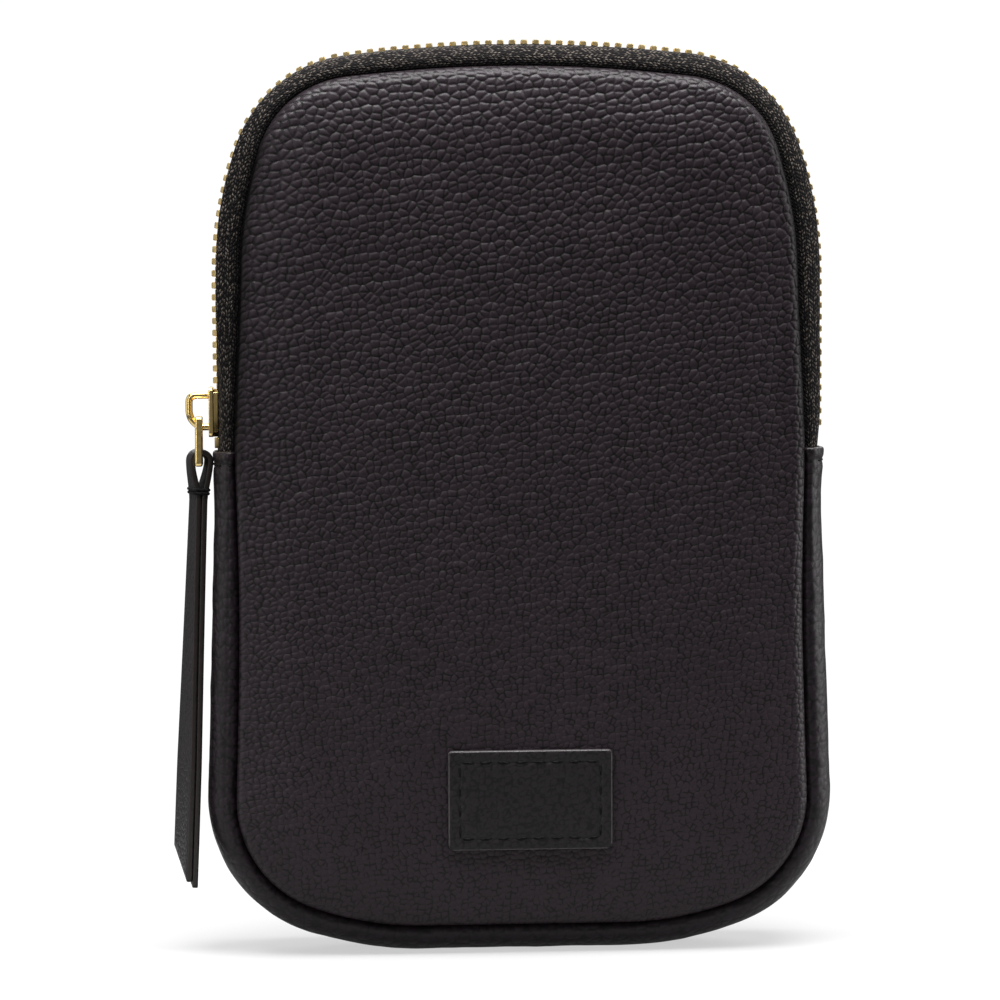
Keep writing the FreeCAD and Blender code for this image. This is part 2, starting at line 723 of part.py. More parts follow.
def label_patch():
    """Plain leather patch on the lower front."""
    body = new_body("label_patch")
    left, right = ("label_shift", "-label_half_width"), ("label_shift", "label_half_width")
    low, high = ("label_centre", "-label_half_height"), ("label_centre", "label_half_height")
    sketch = new_sketch(body, "XZ_Plane", "panel_half_depth")
    polygon(sketch, box_corners(left, right, low, high))
    patch = extrude(body, "Pad", sketch, "label_thick")
    fillet(body, patch, runs_along("y"), "label_corner")
    return body


def stitch_row(start, ahead, outward, length):
    """Stitches in a straight row, evenly spaced, lying on a face."""
    count = max(1, round(length / total("stitch_length", "stitch_space")))
    step = length / count
    long = step - dim("stitch_space")
    aside = ahead.cross(outward)
    row = []
    for number in range(count):
        corner = start + ahead * (number * step + dim("stitch_space") / 2) - aside * (dim("thread") / 2)
        face = [corner, corner + ahead * long, corner + ahead * long + aside * dim("thread"),
                corner + aside * dim("thread")]
        base = Part.Face(Part.makePolygon(face + face[:1]))
        row.append(base.extrude(outward * dim("thread_proud")))
    return row


def stitches(label, rows, place=None):
    feature = doc.addObject("Part::Feature", label)
    feature.Label = label
    feature.Shape = Part.makeCompound([stitch for row in rows for stitch in stitch_row(*row)])
    if place:
        feature.Placement = place
    parts.append(feature)


def label_stitching():
    inset = dim("label_stitch_inset")
    half_width = dim("label_half_width") - inset
    half_height = dim("label_half_height") - inset
    face = -total("panel_half_depth", "label_thick")
    middle = Vector(dim("label_shift"), face, dim("label_centre"))
    out = Vector(0, -1, 0)
    right, up = Vector(1, 0, 0), Vector(0, 0, 1)
    rows = []
    for sign in (1, -1):
        rows.append((middle - right * half_width + up * (sign * half_height), right, out, 2 * half_width))
        rows.append((middle + right * (sign * half_width) - up * half_height, up, out, 2 * half_height))
    stitches("label_stitching", rows)


def hem_stitching():
    """Rows across both ends of the gusset, which hold the ends of the zip."""
    crest = total("seam_half_depth", "-gusset_round")
    level = total(*HEM_TOP, "-hem_stitch_drop")
    rows = []
    for sign in (1, -1):
        start = Vector(sign * dim("zip_half_width"), -crest, level)
        rows.append((start, Vector(0, 1, 0), Vector(sign, 0, 0), 2 * crest))
    stitches("hem_stitching", rows)


def tab_stitching():
    """Rows across both faces of the tab's neck."""
    half = dim("tab_neck_half") - dim("stitch_space")
    rows = []
    for sign in (1, -1):
        start = Vector(sign * dim("tab_leaf"), -half, -dim("tab_stitch_drop"))
        rows.append((start, Vector(0, 1, 0), Vector(sign, 0, 0), 2 * half))
    stitches("pull_tab_stitching", rows, tab_place())


panel_stack("front", "_lower", high=FOLD_LINE + ("-seam_gap",))
panel_stack("front", "_upper", low=FOLD_LINE + ("seam_gap",))
panel_stack("back", back=True)
edge_band("bottom_gusset", (), ("leather",), high=HEM_TOP)
edge_band("gusset_lining", LINING_DROP, ("lining",), high=HEM_TOP)
zip_tape("zip_tape_front")
zip_tape("zip_tape_back", back=True)
zip_teeth("zip_teeth_front")
zip_teeth("zip_teeth_back", back=True)
top_stop("zip_top_stop_front", less)
top_stop("zip_top_stop_back", same)
slider_body()
slider_bridge()
pull_link()
pull_tab()
tab_stitching()
label_patch()
label_stitching()
hem_stitching()

doc.recompute()
for item in doc.Objects:
    if "Invalid" in item.State or "Error" in item.State:
        raise ValueError("failed object: " + item.Label)
os.makedirs("parts", exist_ok=True)
for part in parts:
    if part.Shape.isNull() or not part.Shape.isValid():
        raise ValueError("bad shape: " + part.Label)
for part in parts:
    part.Shape.exportStep("parts/" + part.Label + ".step")
    print(part.Label, "solids", len(part.Shape.Solids), "volume", round(part.Shape.Volume, 1))
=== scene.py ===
# %% [markdown]
# # A small leather phone pouch
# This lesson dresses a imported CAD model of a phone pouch: pebbled leather panels, a leather gusset round
# the lower edge, a metal zip round the upper edge, a slider with a leather pull, and a plain sewn label.
# The CAD model fixes every size and joint. Blender adds the skin: soft shapes, grain, weave, thread, light.

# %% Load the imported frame
import bmesh
import bpy
import math
import numpy as np
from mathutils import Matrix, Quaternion, Vector, noise


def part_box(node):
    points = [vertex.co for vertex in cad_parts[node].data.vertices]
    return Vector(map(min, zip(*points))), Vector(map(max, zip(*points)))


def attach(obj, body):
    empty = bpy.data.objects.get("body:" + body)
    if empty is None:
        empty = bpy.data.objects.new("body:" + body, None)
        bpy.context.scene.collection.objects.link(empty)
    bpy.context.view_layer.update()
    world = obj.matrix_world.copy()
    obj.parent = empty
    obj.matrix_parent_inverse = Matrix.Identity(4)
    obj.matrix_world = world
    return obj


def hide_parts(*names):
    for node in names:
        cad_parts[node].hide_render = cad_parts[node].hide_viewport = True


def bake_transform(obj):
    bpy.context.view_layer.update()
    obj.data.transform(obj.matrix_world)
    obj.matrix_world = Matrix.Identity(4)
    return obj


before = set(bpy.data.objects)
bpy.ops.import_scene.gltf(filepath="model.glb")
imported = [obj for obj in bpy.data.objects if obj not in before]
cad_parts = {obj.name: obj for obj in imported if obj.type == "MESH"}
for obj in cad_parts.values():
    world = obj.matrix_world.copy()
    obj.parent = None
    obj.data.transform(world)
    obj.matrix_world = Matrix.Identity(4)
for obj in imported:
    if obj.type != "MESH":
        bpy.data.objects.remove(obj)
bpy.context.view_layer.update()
MM = 0.001

# %% [markdown]
# ## The edge line
# Seen from the front, the pouch is one smooth line: a flat base, bowed heels, round corners, a belly that
# leans in to the waist, upright sides, swept shoulders, tight top corners and a bowed crown.
# Every panel, tape and gusset follows this line. It could be traced by hand as a curve, but here it is
# built from the arcs that the CAD model uses, so that each piece meets its neighbour exactly.
# An arc is walked by the angle of its outward direction, because that direction is shared where arcs meet.

# %% Arcs of the edge line, in millimetres
HEIGHT = 180.0
ZIP_HALF = 60.3
BELLY = 1.7
BASE_HALF = 20.0
HEEL_RADIUS = 68.0
CORNER_RADIUS = 28.0
WAIST_HEIGHT = 90.0
WAIST_RADIUS = 170.0
SHOULDER_HEIGHT = 134.8
SHOULDER_RADIUS = 75.0
TOP_CORNER_RADIUS = 27.0
CROWN_RADIUS = 270.0
HEM_TOP = 99.3

heel = np.array([BASE_HALF, HEEL_RADIUS])
corner_x = ZIP_HALF + BELLY - CORNER_RADIUS
corner_drop = math.sqrt((HEEL_RADIUS - CORNER_RADIUS) ** 2 - (corner_x - BASE_HALF) ** 2)
corner = np.array([corner_x, HEEL_RADIUS - corner_drop])
waist = np.array([ZIP_HALF + WAIST_RADIUS, WAIST_HEIGHT])
shoulder = np.array([ZIP_HALF - SHOULDER_RADIUS, SHOULDER_HEIGHT])
crown = np.array([0.0, HEIGHT - CROWN_RADIUS])


def angle_of(vector):
    return math.atan2(vector[1], vector[0])


def meeting(first, first_radius, second, second_radius):
    """Right-hand point with the given distances from two points."""
    gap = second - first
    length = np.linalg.norm(gap)
    along = (first_radius ** 2 - second_radius ** 2 + length ** 2) / (2 * length)
    aside = math.sqrt(first_radius ** 2 - along ** 2)
    ahead = gap / length
    return first + ahead * along + np.array([-ahead[1], ahead[0]]) * -aside


top = meeting(crown, CROWN_RADIUS - TOP_CORNER_RADIUS, shoulder, SHOULDER_RADIUS - TOP_CORNER_RADIUS)
lean_share = (CORNER_RADIUS + WAIST_RADIUS) / np.linalg.norm(waist - corner)
lean = angle_of(waist - corner) - math.acos(lean_share)
ARCS = [
    (heel, HEEL_RADIUS, -math.pi / 2, angle_of(corner - heel)),
    (corner, CORNER_RADIUS, angle_of(corner - heel), lean),
    (waist, -WAIST_RADIUS, lean, 0.0),
    (shoulder, SHOULDER_RADIUS, 0.0, angle_of(top - shoulder)),
    (top, TOP_CORNER_RADIUS, angle_of(top - shoulder), angle_of(top - crown)),
    (crown, CROWN_RADIUS, angle_of(top - crown), math.pi / 2),
]
print("top corner turns about", np.round(top, 1))
print("belly leans by degrees:", round(math.degrees(lean), 2))

# %% Walk the line by its length
ARC_STEPS = 80
half_points, half_normals = [np.zeros(2)], [np.array([0.0, -1.0])]
for centre, radius, first, last in ARCS:
    for angle in np.linspace(first, last, ARC_STEPS):
        normal = np.array([math.cos(angle), math.sin(angle)])
        half_points.append(centre + normal * radius)
        half_normals.append(normal)
half_points, half_normals = np.array(half_points), np.array(half_normals)
half_runs = np.concatenate([[0.0], np.cumsum(np.linalg.norm(np.diff(half_points, axis=0), axis=1))])
HALF_RUN = half_runs[-1]
HEM_RUN = float(np.interp(HEM_TOP, half_points[:, 1], half_runs))


def edge_at(runs):
    """Points and outward directions at distances along the line: 0 is mid base, and right is positive."""
    wrapped = (np.asarray(runs, float) + HALF_RUN) % (2 * HALF_RUN) - HALF_RUN
    side = np.where(wrapped < 0, -1.0, 1.0)
    columns = (*half_points.T, *half_normals.T)
    x, z, out_x, out_z = (np.interp(np.abs(wrapped), half_runs, column) for column in columns)
    normals = np.column_stack([out_x * side, out_z])
    return np.column_stack([x * side, z]), normals / np.linalg.norm(normals, axis=1)[:, None]


EDGE_STEPS = 1200
BATCH = 500
dense_edge, _ = edge_at(np.linspace(-HALF_RUN, HALF_RUN, EDGE_STEPS, endpoint=False))


def edge_distance(points):
    """How far inside the edge line each point lies, measured in batches to spare memory."""
    points = np.asarray(points, float)
    batches = np.array_split(points, max(1, len(points) // BATCH))
    gaps = [np.linalg.norm(batch[:, None] - dense_edge[None], axis=2).min(axis=1) for batch in batches]
    return np.concatenate(gaps)


print("edge line in mm:", round(2 * HALF_RUN, 1))
print("of which the zip takes:", round(2 * (HALF_RUN - HEM_RUN), 1))

# %% [markdown]
# ## Camera and studio
# The photograph was taken almost straight on, a little from the left and a little from above, with a long
# lens that is rolled by a third of a degree. The camera comes first, because every later comparison depends
# on it. One image pixel covers the same width at the pouch's edge as in the photograph, which sets the
# distance once the lens is chosen. The room is a pale floor under a white sky: a soft light box overhead,
# wide ones at both sides that give the gold something bright to mirror, a narrow one beside the camera and
# one behind.

# %% Camera
IMAGE_PIXELS = 1000
PIXEL = 0.199
LENS = 135.0
SENSOR = 36.0
AZIMUTH, ELEVATION = math.radians(-3.8), math.radians(2.8)
AIM = Vector((-3.6, 0.0, 89.0)) * MM
ROLL = math.radians(-0.35)

camera = bpy.data.objects.new("camera", bpy.data.cameras.new("camera"))
camera.data.lens = LENS
camera.data.sensor_width = SENSOR
back = Vector((math.sin(AZIMUTH) * math.cos(ELEVATION), -math.cos(AZIMUTH) * math.cos(ELEVATION),
               math.sin(ELEVATION)))
camera_distance = IMAGE_PIXELS * PIXEL * MM * LENS / SENSOR
camera.location = AIM + back * camera_distance
camera.rotation_euler = ((-back).to_track_quat("-Z", "Y") @ Quaternion((0, 0, 1), ROLL)).to_euler()
camera.data.clip_start = 0.01
bpy.context.scene.collection.objects.link(camera)
bpy.context.scene.camera = camera
print("camera stands", round(camera_distance, 3), "m away")

# %% Colour and node helpers
def linear(code):
    """Linear colour from an sRGB hex value."""
    parts = [int(code[place:place + 2], 16) / 255 for place in (1, 3, 5)]
    light = [part / 12.92 if part <= 0.04045 else ((part + 0.055) / 1.055) ** 2.4 for part in parts]
    return (*light, 1.0)


def fill(tree, node, inputs):
    """Set a node's inputs by socket: the output of another node is linked, anything else is a constant."""
    for socket, value in inputs.items():
        if isinstance(value, bpy.types.NodeSocket):
            tree.links.new(value, node.inputs[socket])
        else:
            node.inputs[socket].default_value = value
    return node


def add(tree, kind, inputs=None, **settings):
    """Add a node: settings are its properties, inputs are values or links by socket."""
    node = tree.nodes.new(kind)
    for name, value in settings.items():
        setattr(node, name, value)
    return fill(tree, node, inputs or {})


def ramp(tree, value, start, end, low=0.0, high=1.0, smooth=False):
    """Output that goes from low to high while value goes from start to end."""
    inputs = {"Value": value, "From Min": start, "From Max": end, "To Min": low, "To Max": high}
    kind = "SMOOTHSTEP" if smooth else "LINEAR"
    return add(tree, "ShaderNodeMapRange", inputs, interpolation_type=kind).outputs["Result"]


def new_material(name):
    """Empty material with a Principled shader on its output."""
    material = bpy.data.materials.new(name)
    material.use_nodes = True
    tree = material.node_tree
    tree.nodes.clear()
    shader = add(tree, "ShaderNodeBsdfPrincipled")
    add(tree, "ShaderNodeOutputMaterial", {"Surface": shader.outputs["BSDF"]})
    return material, tree, shader


print("black leather in linear light:", [round(part, 4) for part in linear("#251c22")])

# %% Sky and light boxes
SKY_AS_LIGHT = 0.13
SKY_AS_SEEN = 1.05
POUCH_MIDDLE = Vector((0.0, 0.0, 0.09))

bpy.context.scene.view_settings.view_transform = "Standard"
world = bpy.data.worlds.new("white studio")
bpy.context.scene.world = world
world.use_nodes = True
sky = world.node_tree
sky.nodes.clear()
# the sky is white to the camera, and only a dim light to the pouch
ray = add(sky, "ShaderNodeLightPath")
strength = ramp(sky, ray.outputs["Is Camera Ray"], 0.0, 1.0, SKY_AS_LIGHT, SKY_AS_SEEN)
white = add(sky, "ShaderNodeBackground", {"Color": linear("#ffffff"), "Strength": strength})
add(sky, "ShaderNodeOutputWorld", {"Surface": white.outputs["Background"]})


def light_box(name, place, size, power):
    """Rectangular soft light that faces the middle of the pouch; place and size in metres, power in watts."""
    light = bpy.data.lights.new(name, "AREA")
    light.shape = "RECTANGLE"
    light.size, light.size_y = size
    light.energy = power
    holder = bpy.data.objects.new(name, light)
    holder.location = place
    aim = POUCH_MIDDLE - Vector(place)
    holder.rotation_euler = aim.to_track_quat("-Z", "Y").to_euler()
    bpy.context.scene.collection.objects.link(holder)


light_box("overhead light", (0.0, -0.15, 0.95), (1.0, 0.6), 26.0)
light_box("left light", (-0.75, 0.15, 0.3), (0.7, 0.8), 1.2)
light_box("right light", (0.75, 0.1, 0.3), (0.7, 0.8), 4.0)
light_box("front strip light", (-0.42, -0.55, 0.28), (0.1, 0.6), 0.8)
light_box("back light", (0.1, 0.8, 0.55), (1.0, 0.4), 4.0)

# %% Paper floor
PAPER_AS_LIGHT = 0.15
PAPER_AS_SEEN = 0.56
FLOOR_HALVES = (0.3, 0.15)
FLOOR_SIDES = 96

# matt paper that glows like a light table: it stays white in the picture but throws little light back
paper, tree, shader = new_material("matt pale paper")
ray = add(tree, "ShaderNodeLightPath")
glow = ramp(tree, ray.outputs["Is Camera Ray"], 0.0, 1.0, PAPER_AS_LIGHT, PAPER_AS_SEEN)
fill(tree, shader, {"Base Color": linear("#808080"), "Roughness": 0.9, "Specular IOR Level": 0.1,
                    "Emission Color": linear("#ffffff"), "Emission Strength": glow})
floor_edge = [(FLOOR_HALVES[0] * math.cos(angle), FLOOR_HALVES[1] * math.sin(angle), 0.0)
              for angle in np.linspace(0, 2 * math.pi, FLOOR_SIDES, endpoint=False)]
floor_mesh = bpy.data.meshes.new("floor")
floor_mesh.from_pydata(floor_edge, [], [tuple(range(FLOOR_SIDES))])
floor_mesh.materials.append(paper)
floor = bpy.data.objects.new("floor", floor_mesh)
bpy.context.scene.collection.objects.link(floor)
print("floor in m:", 2 * FLOOR_HALVES[0], "by", 2 * FLOOR_HALVES[1])

# %% [markdown]
# ## Pebbled leather
# The panels are milled cowhide: tumbling shrinks the skin into rounded pebbles about 2 mm wide with thin
# creases between them, and a semi-matt pigment coat leaves a soft shine on each pebble. Towards the base the
# pebbles are smaller and lower, and their creases close to pits. An image could show that, but a cell
# pattern in Object coordinates is sharper, has no seams and keeps its size on every piece. In each cell the
# squared distance from the middle makes a dome, and the distance to the cell's border rounds off its flank
# and marks the crease, which is darkened with painted shade, dark pits included. The panels take a flat
# pattern, because a solid one cuts slivers off its pebbles. On the panels, painted shade also darkens the
# rolled edge where it turns down into the groove beside the tape.

# %% Where the pebbles lie
ROW_CLIMB = -0.16
DEPTH_SLANT = 0.5
SQUAT = (1.0, 1.1, 1.1)


def times(tree, first, second, plus=0.0):
    """Output of first times second, plus a third."""
    return add(tree, "ShaderNodeMath", {0: first, 1: second, 2: plus}, operation="MULTIPLY_ADD").outputs[0]


def pebble_places(tree, axes, tighten, flat):
    """Coordinates of the pattern: rows climb a little to the right and close up towards the base."""
    wide, deep, high = (axes.outputs[axis] for axis in "XYZ")
    shrink = tighten / (HEIGHT * MM)
    along = times(tree, wide, times(tree, high, -shrink, 1 + tighten))
    up = times(tree, high, times(tree, high, -shrink / 2, 1 + tighten))
    up = times(tree, wide, ROW_CLIMB, up)
    if flat:
        # depth slants the flat pattern, so that the rolled edge isn't streaked
        sides = {"X": times(tree, deep, DEPTH_SLANT, along), "Y": times(tree, deep, DEPTH_SLANT, up)}
    else:
        sides = {"X": along, "Y": deep, "Z": up}
    laid = add(tree, "ShaderNodeCombineXYZ", sides)
    return add(tree, "ShaderNodeMapping", {"Vector": laid.outputs[0], "Scale": SQUAT}).outputs[0]


print("pebbles are squat by", SQUAT[1])

# %% Painted shade in the groove beside the tape
# depths from the pouch's middle, and heights, between which painted shade darkens the rolled edge of a panel,
# in mm
GROOVE_DEPTHS = (10.8, 12.75)
GROOVE_FOOT = (88.0, 104.0)
GROOVE_TOP = (155.0, 168.0)
GROOVE_LIGHT = 0.08
GROOVE_AT_TOP = 0.3


def painted_groove_shade(tree, axes):
    """Painted shade: share of light left where a panel's wall turns down into the deep groove beside the
    tape.
    """
    depth = add(tree, "ShaderNodeMath", {0: axes.outputs["Y"]}, operation="ABSOLUTE").outputs[0]
    wall = ramp(tree, depth, GROOVE_DEPTHS[0] * MM, GROOVE_DEPTHS[1] * MM, low=GROOVE_LIGHT)
    above_hem = ramp(tree, axes.outputs["Z"], GROOVE_FOOT[0] * MM, GROOVE_FOOT[1] * MM)
    below_top = ramp(tree, axes.outputs["Z"], GROOVE_TOP[0] * MM, GROOVE_TOP[1] * MM, 1.0, GROOVE_AT_TOP)
    beside = times(tree, above_hem, below_top)
    return add(tree, "ShaderNodeMix", {"Factor": beside, "A": 1.0, "B": wall}).outputs[0]


print("groove from mm:", GROOVE_FOOT[0], "to", GROOVE_TOP[1])

# %% Leather materials
# shares of the pattern's unit: fall of a dome, rise of its flank, of the pores and of the slow swell
DOME_FALL = 0.6
FLANK_RISE = 0.14
PORE_RISE = 0.04
SWELL_RISE = 0.25
# shares of a cell: width of the flank, and least and greatest width of a crease
FLANK_WIDTH = 0.36
CREASE_WIDTHS = (0.03, 0.28)
# pores finer than a pixel are drawn at 0.35 mm, coarse enough to break the shine
PORE = 0.35
SWELL = 9.0
# heights in mm between which the pebbles get lower, and by how much of the tightening
LOWER_PEBBLES = (30.0, 120.0)
LOWERING = 0.7
LEATHER_SPECULAR = 0.28


def speckle(tree, where, size, detail):
    """Noise node whose blotches are about size millimetres wide."""
    return add(tree, "ShaderNodeTexNoise", {"Vector": where, "Scale": 1 / (size * MM), "Detail": detail})


def pebbled_leather(name, top_colour, crease_shade_colour, grain, relief, shine, tighten=0.0, flat=False):
    """Leather with domed pebbles: grain and relief in mm; tighten is how far they shrink towards the base."""
    material, tree, shader = new_material(name)
    where = add(tree, "ShaderNodeTexCoord").outputs["Object"]
    axes = add(tree, "ShaderNodeSeparateXYZ", {"Vector": where})
    # a slow wobble bends the straight borders of the cells, as skin does
    wobble = speckle(tree, where, 2.6 * grain, 1.0)
    bend = add(tree, "ShaderNodeVectorMath", {0: wobble.outputs["Color"], 1: (0.5, 0.5, 0.5)},
               operation="SUBTRACT")
    places = pebble_places(tree, axes, tighten, flat)
    bent = add(tree, "ShaderNodeVectorMath", {0: bend.outputs[0], 1: (0.3 * grain * MM,) * 3, 2: places},
               operation="MULTIPLY_ADD")
    cells = {"Vector": bent.outputs[0], "Scale": 1 / (grain * MM), "Randomness": 0.8}
    kind = "2D" if flat else "3D"
    middle = add(tree, "ShaderNodeTexVoronoi", {**cells, "Smoothness": 0.4}, feature="SMOOTH_F1",
                 voronoi_dimensions=kind).outputs["Distance"]
    border = add(tree, "ShaderNodeTexVoronoi", cells, feature="DISTANCE_TO_EDGE",
                 voronoi_dimensions=kind).outputs["Distance"]
    # each pebble's flank rounds off into the valley, so no border is a hard line
    flank = ramp(tree, border, 0.0, FLANK_WIDTH, smooth=True)
    pores = speckle(tree, where, PORE, 2.0).outputs["Fac"]
    swell = speckle(tree, where, SWELL, 1.0).outputs["Fac"]
    height = times(tree, times(tree, middle, middle), -DOME_FALL, 1.0)
    for part, rise in ((flank, FLANK_RISE), (pores, PORE_RISE), (swell, SWELL_RISE)):
        height = times(tree, part, rise, height)
    # a dome's middle stands about a quarter of the pattern's unit above its crease, less so towards the base
    low, high = LOWER_PEBBLES
    fading = ramp(tree, axes.outputs["Z"], low * MM, high * MM, 1 - LOWERING * tighten, 1.0)
    bump = add(tree, "ShaderNodeBump", {"Height": height, "Distance": 4 * relief * MM, "Strength": fading})
    # the creases are darkened with painted shade, wide only in places, which leaves dark pits where they meet
    patch = speckle(tree, where, 0.7 * grain, 2.0).outputs["Fac"]
    crease = ramp(tree, border, 0.0, ramp(tree, patch, 0.44, 0.6, *CREASE_WIDTHS), smooth=True)
    tone = add(tree, "ShaderNodeMix", {"Factor": crease, "A": linear(crease_shade_colour), "B": linear(top_colour)},
               data_type="RGBA")
    mottle_and_groove_shade = ramp(tree, swell, 0.0, 1.0, 0.8, 1.2)
    specular = LEATHER_SPECULAR
    # on the panels, painted shade darkens the colour and the shine of the rolled edge beside the tape
    if flat:
        groove = painted_groove_shade(tree, axes)
        mottle_and_groove_shade = times(tree, mottle_and_groove_shade, groove)
        specular = times(tree, groove, LEATHER_SPECULAR)
    colour = add(tree, "ShaderNodeVectorMath", {0: tone.outputs["Result"], 3: mottle_and_groove_shade}, operation="SCALE")
    gloss = ramp(tree, pores, 0.3, 0.7, shine - 0.05, shine + 0.07)
    fill(tree, shader, {"Base Color": colour.outputs[0], "Roughness": gloss, "Normal": bump.outputs[0],
                        "IOR": 1.5, "Specular IOR Level": specular})
    return material


# soft black pigment coat over milled cowhide: a low shine on each dome, creases near black with painted shade
panel_leather = pebbled_leather("milled_cowhide_black", "#251c22", "#030203", grain=1.85, relief=0.118,
                                shine=0.43, tighten=0.6, flat=True)
# the same hide pulled round the edge, which draws its pebbles wider and shallower
gusset_leather = pebbled_leather("milled_cowhide_stretched", "#1b1319", "#080708", grain=2.4, relief=0.09,
                                 shine=0.42, tighten=0.4)
# the pull is cut from thinner, denser hide with a small grain
tab_leather = pebbled_leather("fine_grain_cowhide", "#1d181b", "#0a090a", grain=1.2, relief=0.07, shine=0.42)
print("leathers:", panel_leather.name, gusset_leather.name, tab_leather.name)

# %% [markdown]
# ## Smooth leather, edge paint, thread and board
# The label is smooth, pressed leather with only a faint grain, and its cut edge is rubbed until it shines;
# its paler colour is a painted highlight.
# The cut edges of the pull are painted, which gives a smooth dark satin bead. The thread is black polyester:
# its twist is a fine slanting ridge. Inside lies grey fibreboard, pressed from flakes.
# In paint, thread and board, and later in the lining, one pattern moves the colour and any relief, so one
# function makes all four.

# %% Label leather, edge paint, thread and board
label_leather = pebbled_leather("pressed_calf_black", "#1d1a1c", "#0d0c0d", grain=1.3, relief=0.045,
                                shine=0.42)
# rubbed edge of the label: glossier than its face, and painted paler as a highlight along the rim
burnished_edge_highlight = pebbled_leather("burnished_leather_edge", "#4c484a", "#3a3638", grain=0.9, relief=0.01,
                                 shine=0.3)


def two_tone(name, dark, pale, relief, finish, kind, pattern, **settings):
    """Material whose colour and relief follow one pattern node; relief in mm, finish holds shader sockets."""
    material, tree, shader = new_material(name)
    where = add(tree, "ShaderNodeTexCoord").outputs["Object"]
    shade = add(tree, kind, {"Vector": where, **pattern}, **settings).outputs["Fac"]
    tint = add(tree, "ShaderNodeMix", {"Factor": shade, "A": linear(dark), "B": linear(pale)},
               data_type="RGBA")
    if relief:
        bump = add(tree, "ShaderNodeBump", {"Height": shade, "Distance": relief * MM})
        tree.links.new(bump.outputs[0], shader.inputs["Normal"])
    fill(tree, shader, {"Base Color": tint.outputs["Result"], **finish})
    return material


# edge paint: thin acrylic coat, dark with a narrow satin highlight
edge_paint = two_tone("satin_edge_paint", "#141010", "#2a2321", relief=0.06, finish={"Roughness": 0.36},
                      kind="ShaderNodeTexNoise", pattern={"Scale": 1 / (0.9 * MM), "Detail": 3.0})
# black polyester thread: a tight twist that catches the light in short slanting lines
thread = two_tone("black_polyester_thread", "#060606", "#171617", relief=0.05,
                  finish={"Roughness": 0.75, "Specular IOR Level": 0.15}, kind="ShaderNodeTexWave",
                  pattern={"Scale": 1 / (2.2 * MM), "Distortion": 1.5}, bands_direction="DIAGONAL")
# grey fibreboard that keeps the panels flat: pressed flakes, quite dull
fibreboard = two_tone("pressed_fibreboard", "#4a453d", "#6d665a", relief=0.0, finish={"Roughness": 0.85},
                      kind="ShaderNodeTexNoise", pattern={"Scale": 1 / (1.5 * MM), "Detail": 4.0})
print("small finishes:", label_leather.name, edge_paint.name, thread.name, fibreboard.name)

# %% [markdown]
# ## Woven zip tape and lining
# The tape is black polyester, woven in a broken herringbone: short floats of yarn that lean one way in one
# column and the other way in the next, each catching the light as a small pale fleck, which is painted into
# the colour as a highlight; beside the seam the floats get painted shade. The pattern has to follow the tape
# round the pouch, so it reads the piece's own UV map, which holds the distance along the tape and across it
# in metres. Folding the cross distance back and forth leans the columns, and a cell pattern puts one float in
# each cell. The lining is a plain twill, which a diagonal wave shows well enough.

# %% Tape and lining materials
COLUMN = 1.1
FLOAT_LENGTH = 0.8
FLOAT_WIDTH = 0.5
FLOAT_SLANT = 0.8
FLOAT_RISE = 0.14
# distances from the seam over which the painted shade on the floats fades out
SEAM_SHADE_SPAN = (2.4, 4.2)

# woven tape: near-black yarn, dull; the pale grey-brown float tops are a painted highlight
zip_weave, tree, shader = new_material("herringbone_polyester_tape")
place = add(tree, "ShaderNodeSeparateXYZ", {"Vector": add(tree, "ShaderNodeUVMap").outputs["UV"]})
zigzag = add(tree, "ShaderNodeMath", {0: place.outputs["Y"], 1: COLUMN * MM}, operation="PINGPONG")
slant = times(tree, zigzag.outputs[0], FLOAT_SLANT, place.outputs["X"])
leaning = add(tree, "ShaderNodeCombineXYZ", {"X": slant, "Y": place.outputs["Y"]})
floats_per_metre = (1 / (FLOAT_LENGTH * MM), 1 / (FLOAT_WIDTH * MM), 1.0)
floats = add(tree, "ShaderNodeMapping", {"Vector": leaning.outputs[0], "Scale": floats_per_metre})
yarn = add(tree, "ShaderNodeTexVoronoi", {"Vector": floats.outputs[0], "Scale": 1.0, "Randomness": 0.55},
           voronoi_dimensions="2D")
top_of_yarn = ramp(tree, yarn.outputs["Distance"], 0.5, 0.1, smooth=True)
# each float's painted highlight is as bright as chance has it
chance = add(tree, "ShaderNodeSeparateXYZ", {"Vector": yarn.outputs["Color"]})
pale = ramp(tree, chance.outputs["X"], 0.25, 1.0, low=0.05)
# floats beside the seam dive into the groove, so painted shade darkens them there
seam_painted_shade = ramp(tree, place.outputs["Y"], SEAM_SHADE_SPAN[0] * MM, SEAM_SHADE_SPAN[1] * MM, low=0.1, smooth=True)
# pale float tops are a painted highlight, dimmed by the painted shade at the seam
painted_fleck_highlight = times(tree, top_of_yarn, times(tree, pale, seam_painted_shade))
tint = add(tree, "ShaderNodeMix", {"Factor": painted_fleck_highlight, "A": linear("#0b090a"), "B": linear("#6f6760")},
           data_type="RGBA")
bump = add(tree, "ShaderNodeBump", {"Height": top_of_yarn, "Distance": FLOAT_RISE * MM})
fill(tree, shader, {"Base Color": tint.outputs["Result"], "Normal": bump.outputs[0], "Roughness": 0.8,
                    "Specular IOR Level": 0.1})

# plain black cotton lining: a fine twill, dull and slightly fuzzy
lining_cloth = two_tone("black_cotton_twill", "#181718", "#282627", relief=0.05,
                        finish={"Roughness": 0.8, "Sheen Weight": 0.3}, kind="ShaderNodeTexWave",
                        pattern={"Scale": 1 / (2 * MM), "Distortion": 0.4}, bands_direction="DIAGONAL")
print("cloths:", zip_weave.name, lining_cloth.name)

